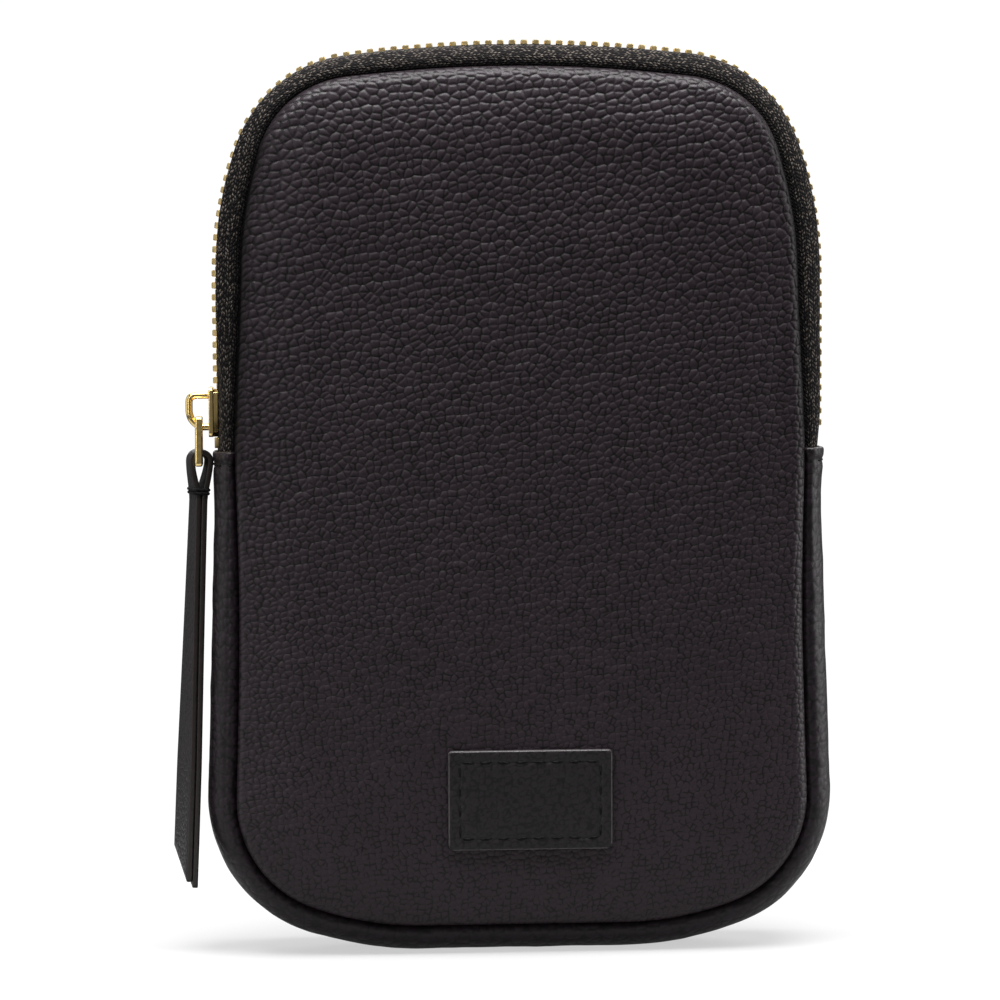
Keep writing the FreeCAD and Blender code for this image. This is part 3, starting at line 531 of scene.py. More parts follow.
# %% [markdown]
# ## Gold-plated metal
# Teeth, slider and link are zinc or brass, polished and plated in light gold. Polish means a low roughness,
# so the metal mirrors the white light boxes and the dark leather beside it. A very shallow unevenness from
# the polishing wheel keeps the mirror from looking computed, and handling dulls it in small patches.

# %% Gold materials
WHEEL_MARK = 1.6
WHEEL_DEPTH = 0.02
WORN_PATCH = 0.8
WORN_RANGE = (0.4, 0.75)
WEAR = 0.12


def plated_gold(name, colour, polish):
    """Polished plating; polish is the least roughness."""
    material, tree, shader = new_material(name)
    where = add(tree, "ShaderNodeTexCoord").outputs["Object"]
    wheel = speckle(tree, where, WHEEL_MARK, 1.0).outputs["Fac"]
    worn = speckle(tree, where, WORN_PATCH, 3.0).outputs["Fac"]
    dull = ramp(tree, worn, *WORN_RANGE, polish, polish + WEAR)
    bump = add(tree, "ShaderNodeBump", {"Height": wheel, "Distance": WHEEL_DEPTH * MM})
    fill(tree, shader, {"Base Color": linear(colour), "Metallic": 1.0, "Roughness": dull,
                        "Normal": bump.outputs[0]})
    return material


# slider, bridge and link: bright polish with a pale yellow cast
slider_gold = plated_gold("polished_light_gold_plate", "#ffe098", 0.16)
# teeth and stops are tumbled rather than polished, so they are a little softer and redder
tooth_gold = plated_gold("tumbled_gold_brass", "#f4d898", 0.27)
print("metals:", slider_gold.name, tooth_gold.name)

# %% [markdown]
# ## Mesh helpers
# Most pieces here are sheets. Two kinds of sheet are enough: a sheet made of rings that shrink towards a
# middle line, for panels and the label, and a band that carries a cross-section along the edge line, for the
# gusset and the tapes. Both are plain lists of points, so that each shape can be read as numbers.

# %% Mesh helpers
# points nearer to each other than this are one point
WELD = 0.001


def mesh_piece(name, points, faces, materials, uv=None, closed=True):
    """Object from points in millimetres; uv has a pair in metres for each point."""
    mesh = bpy.data.meshes.new(name)
    mesh.from_pydata((np.asarray(points, float) * MM).tolist(), [], faces)
    if uv is not None:
        corners = np.zeros(len(mesh.loops), int)
        mesh.loops.foreach_get("vertex_index", corners)
        pairs = np.asarray(uv, float)[corners].astype(np.float32)
        mesh.uv_layers.new(name="along_across").data.foreach_set("uv", pairs.ravel())
    for material in materials:
        mesh.materials.append(material)
    work = bmesh.new()
    work.from_mesh(mesh)
    bmesh.ops.remove_doubles(work, verts=work.verts, dist=WELD * MM)
    if closed:
        bmesh.ops.recalc_face_normals(work, faces=work.faces)
    work.to_mesh(mesh)
    work.free()
    mesh.shade_smooth()
    piece = bpy.data.objects.new(name, mesh)
    bpy.context.scene.collection.objects.link(piece)
    return piece


def grid_faces(rows, columns):
    """Quads of a grid of points, joined round each row."""
    return [(row * columns + place, row * columns + (place + 1) % columns,
             (row + 1) * columns + (place + 1) % columns, (row + 1) * columns + place)
            for row in range(rows - 1) for place in range(columns)]


def lids(rows, columns):
    """The first and the last row of a grid as two faces."""
    return [tuple(range(columns)), tuple(range((rows - 1) * columns, rows * columns))]


def thicken(piece, thickness):
    """Give an open sheet its thickness, behind its face."""
    wall = piece.modifiers.new("thickness", "SOLIDIFY")
    wall.thickness = thickness * MM
    wall.offset = -1.0


print("helpers ready")

# %% [markdown]
# ## Leather panels
# Each panel is one skin over a stiff board: its edge is rolled over into the seam, and its face swells a
# little between the seams. On the front the mouth folds open, so the panel bends there with the CAD hinge.
# A cloth simulation would give a swell too, but the board holds this leather nearly flat, so the crown and
# the slow unevenness are written as a height over the face. The label later lies on it by the same height.

# %% Seam that wanders
PANEL_INSET = 5.6
# nearer to the outer edge than this, nothing follows the seam
FREE_INSET = 1.2
# how far the seam wanders at the hems and at the top corners, and over what length
HEM_WANDER = (1.4, 24.0)
CORNER_WANDER = (0.5, 15.0)
# share of its radius by which the middle of the top corner's arc lies above its centre
CORNER_MIDDLE = 0.7
TOP_CORNER_RUN = float(np.interp(top[1] + TOP_CORNER_RADIUS * CORNER_MIDDLE, half_points[:, 1], half_runs))


def seam_shift(runs):
    """How far the seam lies outwards: at the hems, where the skins pull together, and at the top corners."""
    away = np.abs((np.asarray(runs, float) + HALF_RUN) % (2 * HALF_RUN) - HALF_RUN)
    at_hem = HEM_WANDER[0] * np.exp(-((away - HEM_RUN) / HEM_WANDER[1]) ** 2)
    at_corner = CORNER_WANDER[0] * np.exp(-((away - TOP_CORNER_RUN) / CORNER_WANDER[1]) ** 2)
    return at_hem + at_corner


def seamed(inset, run):
    """Inset of a point between the outer edge and the wandering seam."""
    share = min(1.0, max(0.0, (inset - FREE_INSET) / (PANEL_INSET - FREE_INSET)))
    return inset - float(seam_shift(run)) * share


print("seam lies further out at the hems by mm:", round(float(seam_shift(HEM_RUN)), 2))

# %% Face of a panel
PANEL_DEPTH = 14.0
PANEL_ROLL = 3.2
FACE_INSET = PANEL_INSET + PANEL_ROLL
CROWN = 0.9
CROWN_REACH = 38.0
RIM_DROP = 1.4
RIM_REACH = 11.0
# lengths of the slow and the quick waves in the face, across and upwards, and their height
SLOW_WAVE = (30.0, 36.0)
QUICK_WAVE = (13.0, 11.0)
WAVE_RISE = 0.16
WAVE_SEED = 5.3


def smooth_step(share):
    share = np.clip(share, 0.0, 1.0)
    return share * share * (3 - 2 * share)


def face_depth(points, sign):
    """Height of a panel's face over the pouch's middle plane at (x, z) points; sign is -1 for the front."""
    inside = edge_distance(points) - FACE_INSET
    share = smooth_step(inside / CROWN_REACH)
    waves = np.array([
        noise.noise(Vector((x / SLOW_WAVE[0], z / SLOW_WAVE[1], sign * WAVE_SEED)))
        + 0.5 * noise.noise(Vector((x / QUICK_WAVE[0], z / QUICK_WAVE[1], sign * WAVE_SEED)))
        for x, z in points])
    rise = RIM_DROP * (1 - np.clip(1 - inside / RIM_REACH, 0.0, 1.0) ** 2)
    uneven = WAVE_RISE * waves * np.minimum(1.0, share * 4)
    return PANEL_DEPTH - RIM_DROP + rise + CROWN * share + uneven


middle_depth = face_depth(np.array([[0.0, HEIGHT / 2]]), -1)[0]
print("front face lies before the middle plane by mm:", round(float(middle_depth), 2))

# %% Panel sheet
SPINE = (58.0, 122.0)


def ring_towards_spine(points, share):
    """Ring of (x, z) points drawn in towards the panel's middle line."""
    spine = np.column_stack([np.zeros(len(points)), np.clip(points[:, 1], *SPINE)])
    return spine + (points - spine) * (1 - share)


def panel_sheet(name, sign, rim, material, stations=480, rings=28):
    """Sheet with a rim of (inset, depth) pairs and a crowned face; a skin has a rolled rim of many pairs."""
    runs = np.linspace(-HALF_RUN, HALF_RUN, stations, endpoint=False)
    place, out = edge_at(runs)
    wander = seam_shift(runs) if len(rim) > 1 else np.zeros(stations)
    rows = []
    for inset, depth in rim:
        x = place[:, 0] - (inset - wander) * out[:, 0]
        z = place[:, 1] - (inset - wander) * out[:, 1]
        rows.append(np.column_stack([x, np.full(stations, sign * depth), z]))
    border = rows[-1][:, [0, 2]]
    for share in np.linspace(0, 1, rings)[1:]:
        flat = ring_towards_spine(border, share)
        rise = face_depth(flat, sign) - PANEL_DEPTH + RIM_DROP
        rows.append(np.column_stack([flat[:, 0], sign * (rim[-1][1] + rise), flat[:, 1]]))
    faces = grid_faces(len(rows), stations)
    if sign > 0:
        faces = [face[::-1] for face in faces]
    return mesh_piece(name, np.concatenate(rows), faces, [material], closed=False)


print("middle line from mm:", SPINE[0], "to", SPINE[1])

# %% Front and back panels
LEATHER = 1.1
ROLL_TURN = 76


def hand_over(piece, nodes, body="pouch", bends=False):
    if bends:
        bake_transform(piece)
    else:
        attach(piece, body)
    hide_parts(*nodes)
    print(f"{piece.name}: {len(piece.data.polygons)} faces")


PANEL_RIM = [(6.1, 7.2), (5.75, 8.2), (5.6, 9.1)]
for turn in np.radians(np.linspace(0, ROLL_TURN, 8)):
    roll_depth = PANEL_DEPTH - RIM_DROP - PANEL_ROLL + PANEL_ROLL * math.sin(turn)
    PANEL_RIM.append((FACE_INSET - PANEL_ROLL * math.cos(turn), roll_depth))

front_panel = panel_sheet("front_panel_skin", -1, PANEL_RIM, panel_leather)
back_panel = panel_sheet("back_panel_skin", 1, PANEL_RIM, panel_leather)
for panel in (front_panel, back_panel):
    thicken(panel, LEATHER)
hand_over(front_panel, ["front_panel_lower", "front_panel_upper"], bends=True)
hand_over(back_panel, ["back_panel"])

# %% [markdown]
# ## Boards and linings
# Behind each panel lie a fibreboard and a cotton lining. They show only when the mouth is open, but the front
# ones have to bend with the panel, or they would poke through it. They are the same ring sheet, laid under
# the panel's face at the distance of the leather.

# %% Boards and linings
BOARD = 0.8
BOARD_MARGIN = 0.6
LINING = 0.4
LINING_INSET = 7.3
LAYER_GAP = 0.1
board_level = PANEL_DEPTH - RIM_DROP - LEATHER - LAYER_GAP
lining_level = board_level - BOARD - LAYER_GAP

for side, sign in (("front", -1), ("back", 1)):
    bends = side == "front"
    ends = ("_lower", "_upper") if bends else ("",)
    board_rim = [(FACE_INSET + BOARD_MARGIN, board_level)]
    board = panel_sheet(side + "_board_sheet", sign, board_rim, fibreboard, stations=240, rings=20)
    thicken(board, BOARD)
    lining_rim = [(LINING_INSET, lining_level)]
    lining = panel_sheet(side + "_lining_cloth", sign, lining_rim, lining_cloth, stations=240, rings=20)
    thicken(lining, LINING)
    hand_over(board, [side + "_board" + end for end in ends], bends=bends)
    hand_over(lining, [side + "_lining" + end for end in ends], bends=bends)

# %% [markdown]
# ## Gusset
# The gusset is a leather strip sewn between the panels. Its section is a soft arch: a ridge beside each seam,
# where the turned allowance lies under it, then a round shoulder and a nearly flat crest. At the two upper
# ends it is folded into a hem that stands a little proud and is drawn in by its row of stitches.
# A band function carries that section along the edge line and closes it into a skin with real thickness.

# %% Band along the edge
def end_faces(rows, ring):
    """Quads that close both ends of a skin whose sections run out along one face and back along the other."""
    return [(base + place, base + place + 1, base + ring - 2 - place, base + ring - 1 - place)
            for base in (0, (rows - 1) * ring) for place in range(ring // 2 - 1)]


def band(name, runs, section, materials):
    """Skin that follows the edge; section(run) gives rows of (inset, depth, wall, bulge), front to back."""
    place, out = edge_at(runs)
    points, uv = [], []
    for spot, normal, run in zip(place, out, runs):
        rows = np.array(section(run))
        outer = rows[:, :2]
        slope = np.gradient(outer, axis=0)
        slope /= np.linalg.norm(slope, axis=1)[:, None]
        inward = np.column_stack([slope[:, 1], -slope[:, 0]])
        outer = outer - inward * rows[:, 3:4]
        inner = outer + inward * rows[:, 2:3]
        across = np.concatenate([[0.0], np.cumsum(np.linalg.norm(np.diff(rows[:, :2], axis=0), axis=1))])
        # on a one-sided band the distance across is counted from the seam, its deepest edge
        if rows[0, 0] < rows[-1, 0]:
            across = across[-1] - across
        loop = np.concatenate([outer, inner[::-1]])
        x = spot[0] - loop[:, 0] * normal[0]
        z = spot[1] - loop[:, 0] * normal[1]
        points.append(np.column_stack([x, loop[:, 1], z]))
        uv.append(np.column_stack([np.full(len(loop), run), np.concatenate([across, across[::-1]])]) * MM)
    ring = len(points[0])
    faces = grid_faces(len(points), ring) + end_faces(len(points), ring)
    return mesh_piece(name, np.concatenate(points), faces, materials, np.concatenate(uv))


def both_sides(half):
    """Front and back halves of a section from (inset, depth) pairs that end at the middle."""
    return [(inset, -depth) for inset, depth in half] + [(inset, depth) for inset, depth in half[-2::-1]]


GUSSET_SECTION = both_sides([
    (6.7, 6.9), (6.1, 8.0), (5.55, 8.9), (4.9, 9.5), (4.1, 9.72), (3.3, 9.55), (2.6, 9.0), (2.05, 8.4),
    (1.5, 7.7), (0.95, 6.8), (0.5, 5.8), (0.2, 4.6), (0.06, 3.2), (0.01, 1.6), (0.0, 0.0)])
print("section points:", len(GUSSET_SECTION))

# %% Gusset
HEM_FOLD = 0.55
HEM_STITCH_DROP = 2.6
HEM_DENT = 0.32
HEM_DENT_HALF = 0.75
# how proud the hem stands on the right (1) and on the left (-1), and how far below its edge that dies out
HEM_LIPS = {1: 0.6, -1: 0.25}
HEM_LIP_REACH = 5.0
LEAST_WALL = 0.001
# how far below its edge the hem has steps of its own
HEM_END = 4
# half depth of the flat that the pouch stands on, which has no wrinkles
FOOT_HALF = 4
# height, length along the gusset, length across it and seed
LONG_WRINKLE = (0.14, 8, 5, 3.1)
SHORT_WRINKLE = (0.06, 2.6, 9, 7.7)


def wrinkle_at(run, depth, wrinkle):
    height, along, across, seed = wrinkle
    return height * noise.noise(Vector((run / along, depth / across, seed)))


def gusset_section(run):
    """Rows of (inset, depth, wall, bulge) at a run: the arch with its wrinkles, and the hem near its ends."""
    below = HEM_RUN - abs(run)
    lip = HEM_LIPS[1 if run > 0 else -1] * math.exp(-(below / HEM_LIP_REACH) ** 2)
    lip -= HEM_DENT * math.exp(-((below - HEM_STITCH_DROP) / HEM_DENT_HALF) ** 2)
    fold = math.sqrt(1 - max(0.0, 1 - below / HEM_FOLD) ** 2)
    rows = []
    for inset, depth in GUSSET_SECTION:
        wrinkle = wrinkle_at(run, depth, LONG_WRINKLE) + wrinkle_at(run, depth, SHORT_WRINKLE)
        resting = 0.0 if abs(run) < BASE_HALF and abs(depth) < FOOT_HALF else 1.0
        bulge = lip + wrinkle * resting - LEATHER / 2 * (1 - fold)
        rows.append((seamed(inset, run), depth, LEATHER * fold + LEAST_WALL, bulge))
    return rows


# distances below the hem's edge, close together round its fold and at its stitches
hem_steps = np.array([0.0, 0.06, 0.16, 0.32, 0.55, 1.0, 1.5, 1.9, 2.25, 2.6, 2.95, 3.3])
between = np.linspace(-HEM_RUN + HEM_END, HEM_RUN - HEM_END, 280)
gusset_runs = np.unique(np.concatenate([between, HEM_RUN - hem_steps, hem_steps - HEM_RUN]))
gusset = band("bottom_gusset_skin", gusset_runs, gusset_section, [gusset_leather])
hand_over(gusset, ["bottom_gusset"])

# %% Lining of the gusset
LINING_SECTION = both_sides([
    (5.5, 7.8), (4.7, 7.8), (3.8, 7.6), (2.9, 7.0), (2.2, 6.1), (1.9, 5.0), (1.9, 2.5), (1.9, 0.0)])
lining_rows = [(inset, depth, LINING, 0.0) for inset, depth in LINING_SECTION]
lining_runs = np.linspace(-HEM_RUN, HEM_RUN, 200)
gusset_lining = band("gusset_lining_cloth", lining_runs, lambda run: lining_rows, [lining_cloth])
hand_over(gusset_lining, ["gusset_lining"])

# %% [markdown]
# ## Zip tapes
# Each half of the zip is a woven tape. It comes out of the panel's seam, arches over the shoulder and ends in
# a corded edge that the teeth clamp. Its ends go under the hems. It is the same band with a thinner wall; its
# UV map carries the weave round the corners. The front tape bends with the front panel when the mouth opens.

# %% Section of a tape
TAPE = 0.6
TAPE_SECTION = [
    (7.2, 6.6), (6.4, 7.5), (5.6, 8.15), (4.7, 8.45), (3.8, 8.38), (2.95, 8.0), (2.25, 7.4), (1.7, 6.6),
    (1.35, 5.7), (1.2, 4.7), (1.15, 3.7), (1.15, 2.9), (1.1, 2.3), (1.0, 1.9), (1.0, 1.55), (1.2, 1.3)]
TAPE_WALLS = [TAPE] * 12 + [0.7, 0.9, 0.9, 0.5]
# how far the tape puffs out on the right and on the left, at which depth, and how wide the puff is
RIGHT_PUFF = (0.8, 5.8, 1.9)
LEFT_PUFF = (0.7, 6.2, 1.2)
# the right puff has died out so far past the top's middle, over this length
RIGHT_FADE = (10, 70)
# the left puff starts so far past the top's middle, grows over this length, and ends above the slider
LEFT_GROWTH = (35, 35)
LEFT_END = 14
# length over which a puff comes and goes at its lower end, and its share that is there at the hem
PUFF_RISE = 12
HEM_SHARE = 0.3
# height and length of the tape's slow waves, and their seed
TAPE_WAVE = (0.1, 6, 2.2)
# step between the two corded edges, and the depth at which it has died out
ROW_STEP = 0.3
STEP_REACH = 5
# how much the edges close below the last tooth, how far above the hem that starts, and over what length
END_CLOSING = (1.2, 3.2, 1.2)
CORD_DEPTH = 1.3
CLOSING_REACH = 2.4


def puff_at(depth, puff, share):
    """Swell of the tape at a depth; share is how much of the puff there is at this run."""
    rise, middle, reach = puff
    return rise * share * math.exp(-((depth - middle) / reach) ** 2)


def tape_section(sign, run):
    """Rows of (inset, depth, wall, bulge) of a tape at a run; sign is -1 for the front."""
    wave_height, wave_length, seed = TAPE_WAVE
    lift = wave_height * noise.noise(Vector((run / wave_length, seed, sign)))
    # on the right the tape puffs out from the hem up to the top corner, and less and less along the top
    fading = smooth_step((HALF_RUN + RIGHT_FADE[0] - run) / RIGHT_FADE[1])
    right = float(fading * smooth_step((run - HEM_RUN) / PUFF_RISE + HEM_SHARE))
    # on the left it does so above the slider, and only at the shoulder, beside the slider's way
    slider_end = 2 * HALF_RUN - HEM_RUN - LEFT_END
    growing = smooth_step((run - HALF_RUN - LEFT_GROWTH[0]) / LEFT_GROWTH[1])
    left = float(growing * smooth_step((slider_end - run) / PUFF_RISE))
    # below the last tooth on the right the two edges lie side by side
    most, above_hem, length = END_CLOSING
    closing = most * float(smooth_step((HEM_RUN + above_hem - run) / length))
    rows = []
    for (inset, depth), wall in zip(TAPE_SECTION, TAPE_WALLS):
        puff = puff_at(depth, RIGHT_PUFF, right) + puff_at(depth, LEFT_PUFF, left)
        # the chain leans back, so the front tape's corded edge is proud of the back one's
        puff -= sign * ROW_STEP * max(0.0, 1 - depth / STEP_REACH)
        across = depth - closing * max(0.0, 1 - (depth - CORD_DEPTH) / CLOSING_REACH)
        rows.append((seamed(inset, run), sign * across, wall, lift + puff))
    return rows if sign < 0 else rows[::-1]


print("section points:", len(TAPE_SECTION))

# %% Tapes
TAPE_TUCK = 3.4
tape_runs = np.linspace(HEM_RUN - TAPE_TUCK, 2 * HALF_RUN - HEM_RUN + TAPE_TUCK, 330)
for side, sign in (("front", -1), ("back", 1)):
    tape = band(f"zip_tape_{side}_weave", tape_runs, lambda run: tape_section(sign, run), [zip_weave])
    hand_over(tape, ["zip_tape_" + side], bends=side == "front")

# %% [markdown]
# ## Zip teeth
# A metal tooth is stamped from strip and crimped on the corded edge: two legs hold the tape, a narrow neck
# leads to a head that sits between two teeth of the other row. There are a hundred to a row, all alike, so
# this is work for Geometry Nodes: a path is divided evenly and a tooth is set on each point, turned to face
# along the path. Copying objects in a loop would do it too, but the node tree keeps the count and the tooth
# as named inputs.

# %% Tooth
CORNER_CUT = 0.4


def chamfered_loft(stations):
    """Points and faces of a bar from (across, half width, low, high) stations with cut corners."""
    points = []
    for across, half, low, high in stations:
        cut = min(half, (high - low) / 2) * CORNER_CUT
        points += [(half, across, low + cut), (half, across, high - cut), (half - cut, across, high),
                   (cut - half, across, high), (-half, across, high - cut), (-half, across, low + cut),
                   (cut - half, across, low), (half - cut, across, low)]
    return points, grid_faces(len(stations), 8) + lids(len(stations), 8)


TOOTH_HALF = 1.3
SLOT_HALF = 0.36
CHAIN_TILT = math.radians(9)
# head and neck in one bar, then the two legs
TOOTH_BARS = [
    [(-1.45, 0.63, -TOOTH_HALF, TOOTH_HALF), (-0.62, 0.38, -1.1, 1.1), (0.1, 0.46, -0.98, 0.98),
     (0.72, 0.36, -0.8, 0.8)],
    [(-3.0, 0.5, SLOT_HALF, 1.1), (-2.7, 0.64, SLOT_HALF, TOOTH_HALF), (-1.45, 0.63, SLOT_HALF, TOOTH_HALF)],
    [(-3.0, 0.5, -1.1, -SLOT_HALF), (-2.7, 0.64, -TOOTH_HALF, -SLOT_HALF),
     (-1.45, 0.63, -TOOTH_HALF, -SLOT_HALF)],
]


def tooth_pattern(sign):
    """One tooth on the origin; sign -1 has its legs to the front. The chain leans, so the front is proud."""
    points, faces = [], []
    lean_cos, lean_sin = math.cos(CHAIN_TILT), math.sin(CHAIN_TILT)
    for bar in TOOTH_BARS:
        bar_points, bar_faces = chamfered_loft(bar)
        faces += [tuple(index + len(points) for index in face) for face in bar_faces]
        points += [(along, up * lean_sin - sign * across * lean_cos, up * lean_cos + sign * across * lean_sin)
                   for along, across, up in bar_points]
    pattern = mesh_piece("tooth_pattern", points, faces, [tooth_gold])
    pattern.data.shade_flat()
    return pattern


print("faces in a tooth:", sum(len(chamfered_loft(bar)[1]) for bar in TOOTH_BARS))

# %% Tree helpers
def plain_mesh(piece):
    """Turn what the modifiers make into the object's own mesh."""
    graph = bpy.context.evaluated_depsgraph_get()
    shown = piece.evaluated_get(graph)
    made = bpy.data.meshes.new_from_object(shown, preserve_all_data_layers=True, depsgraph=graph)
    made.name = piece.name
    piece.modifiers.clear()
    piece.data = made
    return piece


def new_tree(name, sockets):
    """Geometry tree with named inputs; returns it with its input node and output node."""
    tree = bpy.data.node_groups.new(name, "GeometryNodeTree")
    tree.interface.new_socket("Geometry", in_out="INPUT", socket_type="NodeSocketGeometry")
    tree.interface.new_socket("Geometry", in_out="OUTPUT", socket_type="NodeSocketGeometry")
    for label, kind in sockets:
        tree.interface.new_socket(label, in_out="INPUT", socket_type=kind)
    return tree, add(tree, "NodeGroupInput"), add(tree, "NodeGroupOutput")


def run_tree(piece, tree, **values):
    """Put the tree on a piece with its inputs set, and keep the result as a plain mesh."""
    modifier = piece.modifiers.new(tree.name, "NODES")
    modifier.node_group = tree
    for item in tree.interface.items_tree:
        if item.in_out == "INPUT" and item.name in values:
            modifier[item.identifier] = values[item.name]
    return plain_mesh(piece)


print("tree helpers ready")

# %% Tree that sets teeth along a path
teeth_tree, given, result = new_tree("teeth along a tape", [
    ("Tooth", "NodeSocketObject"), ("Count", "NodeSocketInt"), ("Metal", "NodeSocketMaterial")])
path = add(teeth_tree, "GeometryNodeMeshToCurve", {"Mesh": given.outputs["Geometry"]})
even = add(teeth_tree, "GeometryNodeResampleCurve", {"Curve": path.outputs[0],
                                                     "Count": given.outputs["Count"]})
ahead = add(teeth_tree, "GeometryNodeInputTangent")
facing = add(teeth_tree, "FunctionNodeAlignRotationToVector", {"Vector": ahead.outputs[0]},
             axis="X", pivot_axis="Y")
shape = add(teeth_tree, "GeometryNodeObjectInfo", {"Object": given.outputs["Tooth"]})
row = add(teeth_tree, "GeometryNodeInstanceOnPoints", {
    "Points": even.outputs[0], "Instance": shape.outputs["Geometry"], "Rotation": facing.outputs[0]})
whole = add(teeth_tree, "GeometryNodeRealizeInstances", {"Geometry": row.outputs[0]})
finished = add(teeth_tree, "GeometryNodeSetMaterial", {"Geometry": whole.outputs[0],
                                                       "Material": given.outputs["Metal"]})
teeth_tree.links.new(finished.outputs[0], result.inputs[0])
print("tree:", teeth_tree.name, "with", len(teeth_tree.nodes), "nodes")

# %% Line of the chain
# how deep the chain lies below the edge, by the run from the top's middle: it stands proud on the right
CHAIN_SPOTS = [-125, -100, -55, 0, 55, 92, 110]
CHAIN_INSETS = [1.5, 1.35, 1.4, 1.7, 2.1, 1.6, 1.7]
TOOTH_PITCH = 2.33
FIRST_TOOTH = 9.33

chain_runs = np.linspace(2 * HALF_RUN - HEM_RUN, HEM_RUN, 1600)
chain_place, chain_out = edge_at(chain_runs)
chain = chain_place - np.interp(chain_runs - HALF_RUN, CHAIN_SPOTS, CHAIN_INSETS)[:, None] * chain_out
chain_length = np.concatenate([[0.0], np.cumsum(np.linalg.norm(np.diff(chain, axis=0), axis=1))])
tooth_count = int((chain_length[-1] - TOOTH_PITCH - FIRST_TOOTH) / TOOTH_PITCH)


def wire(name, lines):
    """Object of bare edges through lines of points in millimetres."""
    mesh = bpy.data.meshes.new(name)
    points = [point for line in lines for point in line]
    starts = np.cumsum([0] + [len(line) for line in lines])
    edges = [(index, index + 1) for start, line in zip(starts, lines)
             for index in range(start, start + len(line) - 1)]
    mesh.from_pydata((np.array(points) * MM).tolist(), edges, [])
    piece = bpy.data.objects.new(name, mesh)
    bpy.context.scene.collection.objects.link(piece)
    return piece


print("teeth to a row:", tooth_count)

# %% Rows of teeth
for side, sign in (("front", -1), ("back", 1)):
    start = FIRST_TOOTH + (TOOTH_PITCH / 2 if side == "back" else 0.0)
    steps = np.linspace(start, start + (tooth_count - 1) * TOOTH_PITCH, 900)
    line = [(np.interp(step, chain_length, chain[:, 0]), 0.0, np.interp(step, chain_length, chain[:, 1]))
            for step in steps]
    teeth = wire(f"zip_teeth_{side}_row", [line])
    pattern = tooth_pattern(sign)
    run_tree(teeth, teeth_tree, Tooth=pattern, Count=tooth_count, Metal=tooth_gold)
    bpy.data.objects.remove(pattern)
    hand_over(teeth, ["zip_teeth_" + side], bends=side == "front")

# %% [markdown]
# ## Slider, stops and link
# The slider's two plates and its wedge, the end stops and the link are metal pieces of plain shape, and their
# CAD solids already have the right form. What CAD leaves out is the tumbled edge, which is where polished
# metal shines. So each solid is copied, its triangles are merged back into faces, and its edges get a small
# bevel. The bridge is a bent round bar, so it is swept along its own bent line instead.

# %% Eased copies of the metal pieces
CAD_WELD = 0.002
# triangles that turn less than the first angle are one face; edges that turn more than the second are eased
FLAT_ANGLE = math.radians(2)
EDGE_ANGLE = math.radians(32)


def eased_copy(node, name, edge, material, body):
    """Copy of a CAD node with tumbled edges; edge is the bevel's width in millimetres."""
    piece = bpy.data.objects.new(name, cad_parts[node].data.copy())
    work = bmesh.new()
    work.from_mesh(piece.data)
    bmesh.ops.remove_doubles(work, verts=work.verts, dist=CAD_WELD * MM)
    bmesh.ops.dissolve_limit(work, angle_limit=FLAT_ANGLE, verts=work.verts, edges=work.edges)
    work.to_mesh(piece.data)
    work.free()
    piece.data.materials.clear()
    piece.data.materials.append(material)
    piece.data.shade_smooth()
    bpy.context.scene.collection.objects.link(piece)
    bevel = piece.modifiers.new("tumbled edge", "BEVEL")
    bevel.width = edge * MM
    bevel.segments = 2
    bevel.limit_method = "ANGLE"
    bevel.angle_limit = EDGE_ANGLE
    bevel.harden_normals = True
    hand_over(piece, [node], body)


eased_copy("slider_body", "slider_cast", 0.18, slider_gold, "slider")
eased_copy("zip_top_stop_front", "stop_clip_front", 0.12, tooth_gold, "pouch")
eased_copy("zip_top_stop_back", "stop_clip_back", 0.12, tooth_gold, "pouch")

# %% Bent bar of the bridge, and the link
def bar_along(name, line, section, material):
    """Closed bar: a section of (aside, out) points carried along a line of (x, z) points."""
    line = np.array(line, float)
    ahead = np.gradient(line, axis=0)
    ahead /= np.linalg.norm(ahead, axis=1)[:, None]
    points = [(x + out * -forward[1], aside, z + out * forward[0])
              for (x, z), forward in zip(line, ahead) for aside, out in section]
    faces = grid_faces(len(line), len(section)) + lids(len(line), len(section))
    return mesh_piece(name, points, faces, [material])


def smooth_line(points, steps):
    """Soft curve through the control points, as a NURBS spline gives it."""
    curve = bpy.data.curves.new("bend", "CURVE")
    curve.dimensions = "3D"
    spline = curve.splines.new("NURBS")
    spline.points.add(len(points) - 1)
    for spot, (x, z) in zip(spline.points, points):
        spot.co = (x * MM, 0.0, z * MM, 1.0)
    spline.order_u = 3
    spline.use_endpoint_u = True
    spline.resolution_u = steps
    holder = bpy.data.objects.new("bend", curve)
    mesh = bpy.data.meshes.new_from_object(holder)
    line = [(vertex.co.x / MM, vertex.co.z / MM) for vertex in mesh.vertices]
    bpy.data.objects.remove(holder)
    bpy.data.meshes.remove(mesh)
    return line


# half thickness and half width of the bar
BAR = 0.72
BAR_HALF_WIDTH = 0.95
bridge_low, bridge_high = (Vector(spot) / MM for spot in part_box("slider_bridge"))
foot = bridge_high.x + 0.1
crest = bridge_low.x + BAR
over, under = bridge_high.z - BAR, bridge_low.z + BAR
# from the upper foot over the crest to the lower foot
bend = smooth_line([
    (foot, over), (crest + 2.4, over), (crest + 0.9, over), (crest, over - 0.6),
    (crest, bridge_high.z - 3.0), (crest, bridge_low.z + 3.4), (crest + 0.5, bridge_low.z + 2.0),
    (crest + 2.0, under), (crest + 3.2, under), (foot, under)], 6)
round_bar = [(BAR_HALF_WIDTH * math.cos(angle), BAR * math.sin(angle))
             for angle in np.linspace(0, 2 * math.pi, 16, endpoint=False)]
bridge = bar_along("slider_bridge_bar", bend, round_bar, slider_gold)
hand_over(bridge, ["slider_bridge"], "slider")
eased_copy("pull_link", "pull_link_plated", 0.1, slider_gold, "pull_link")

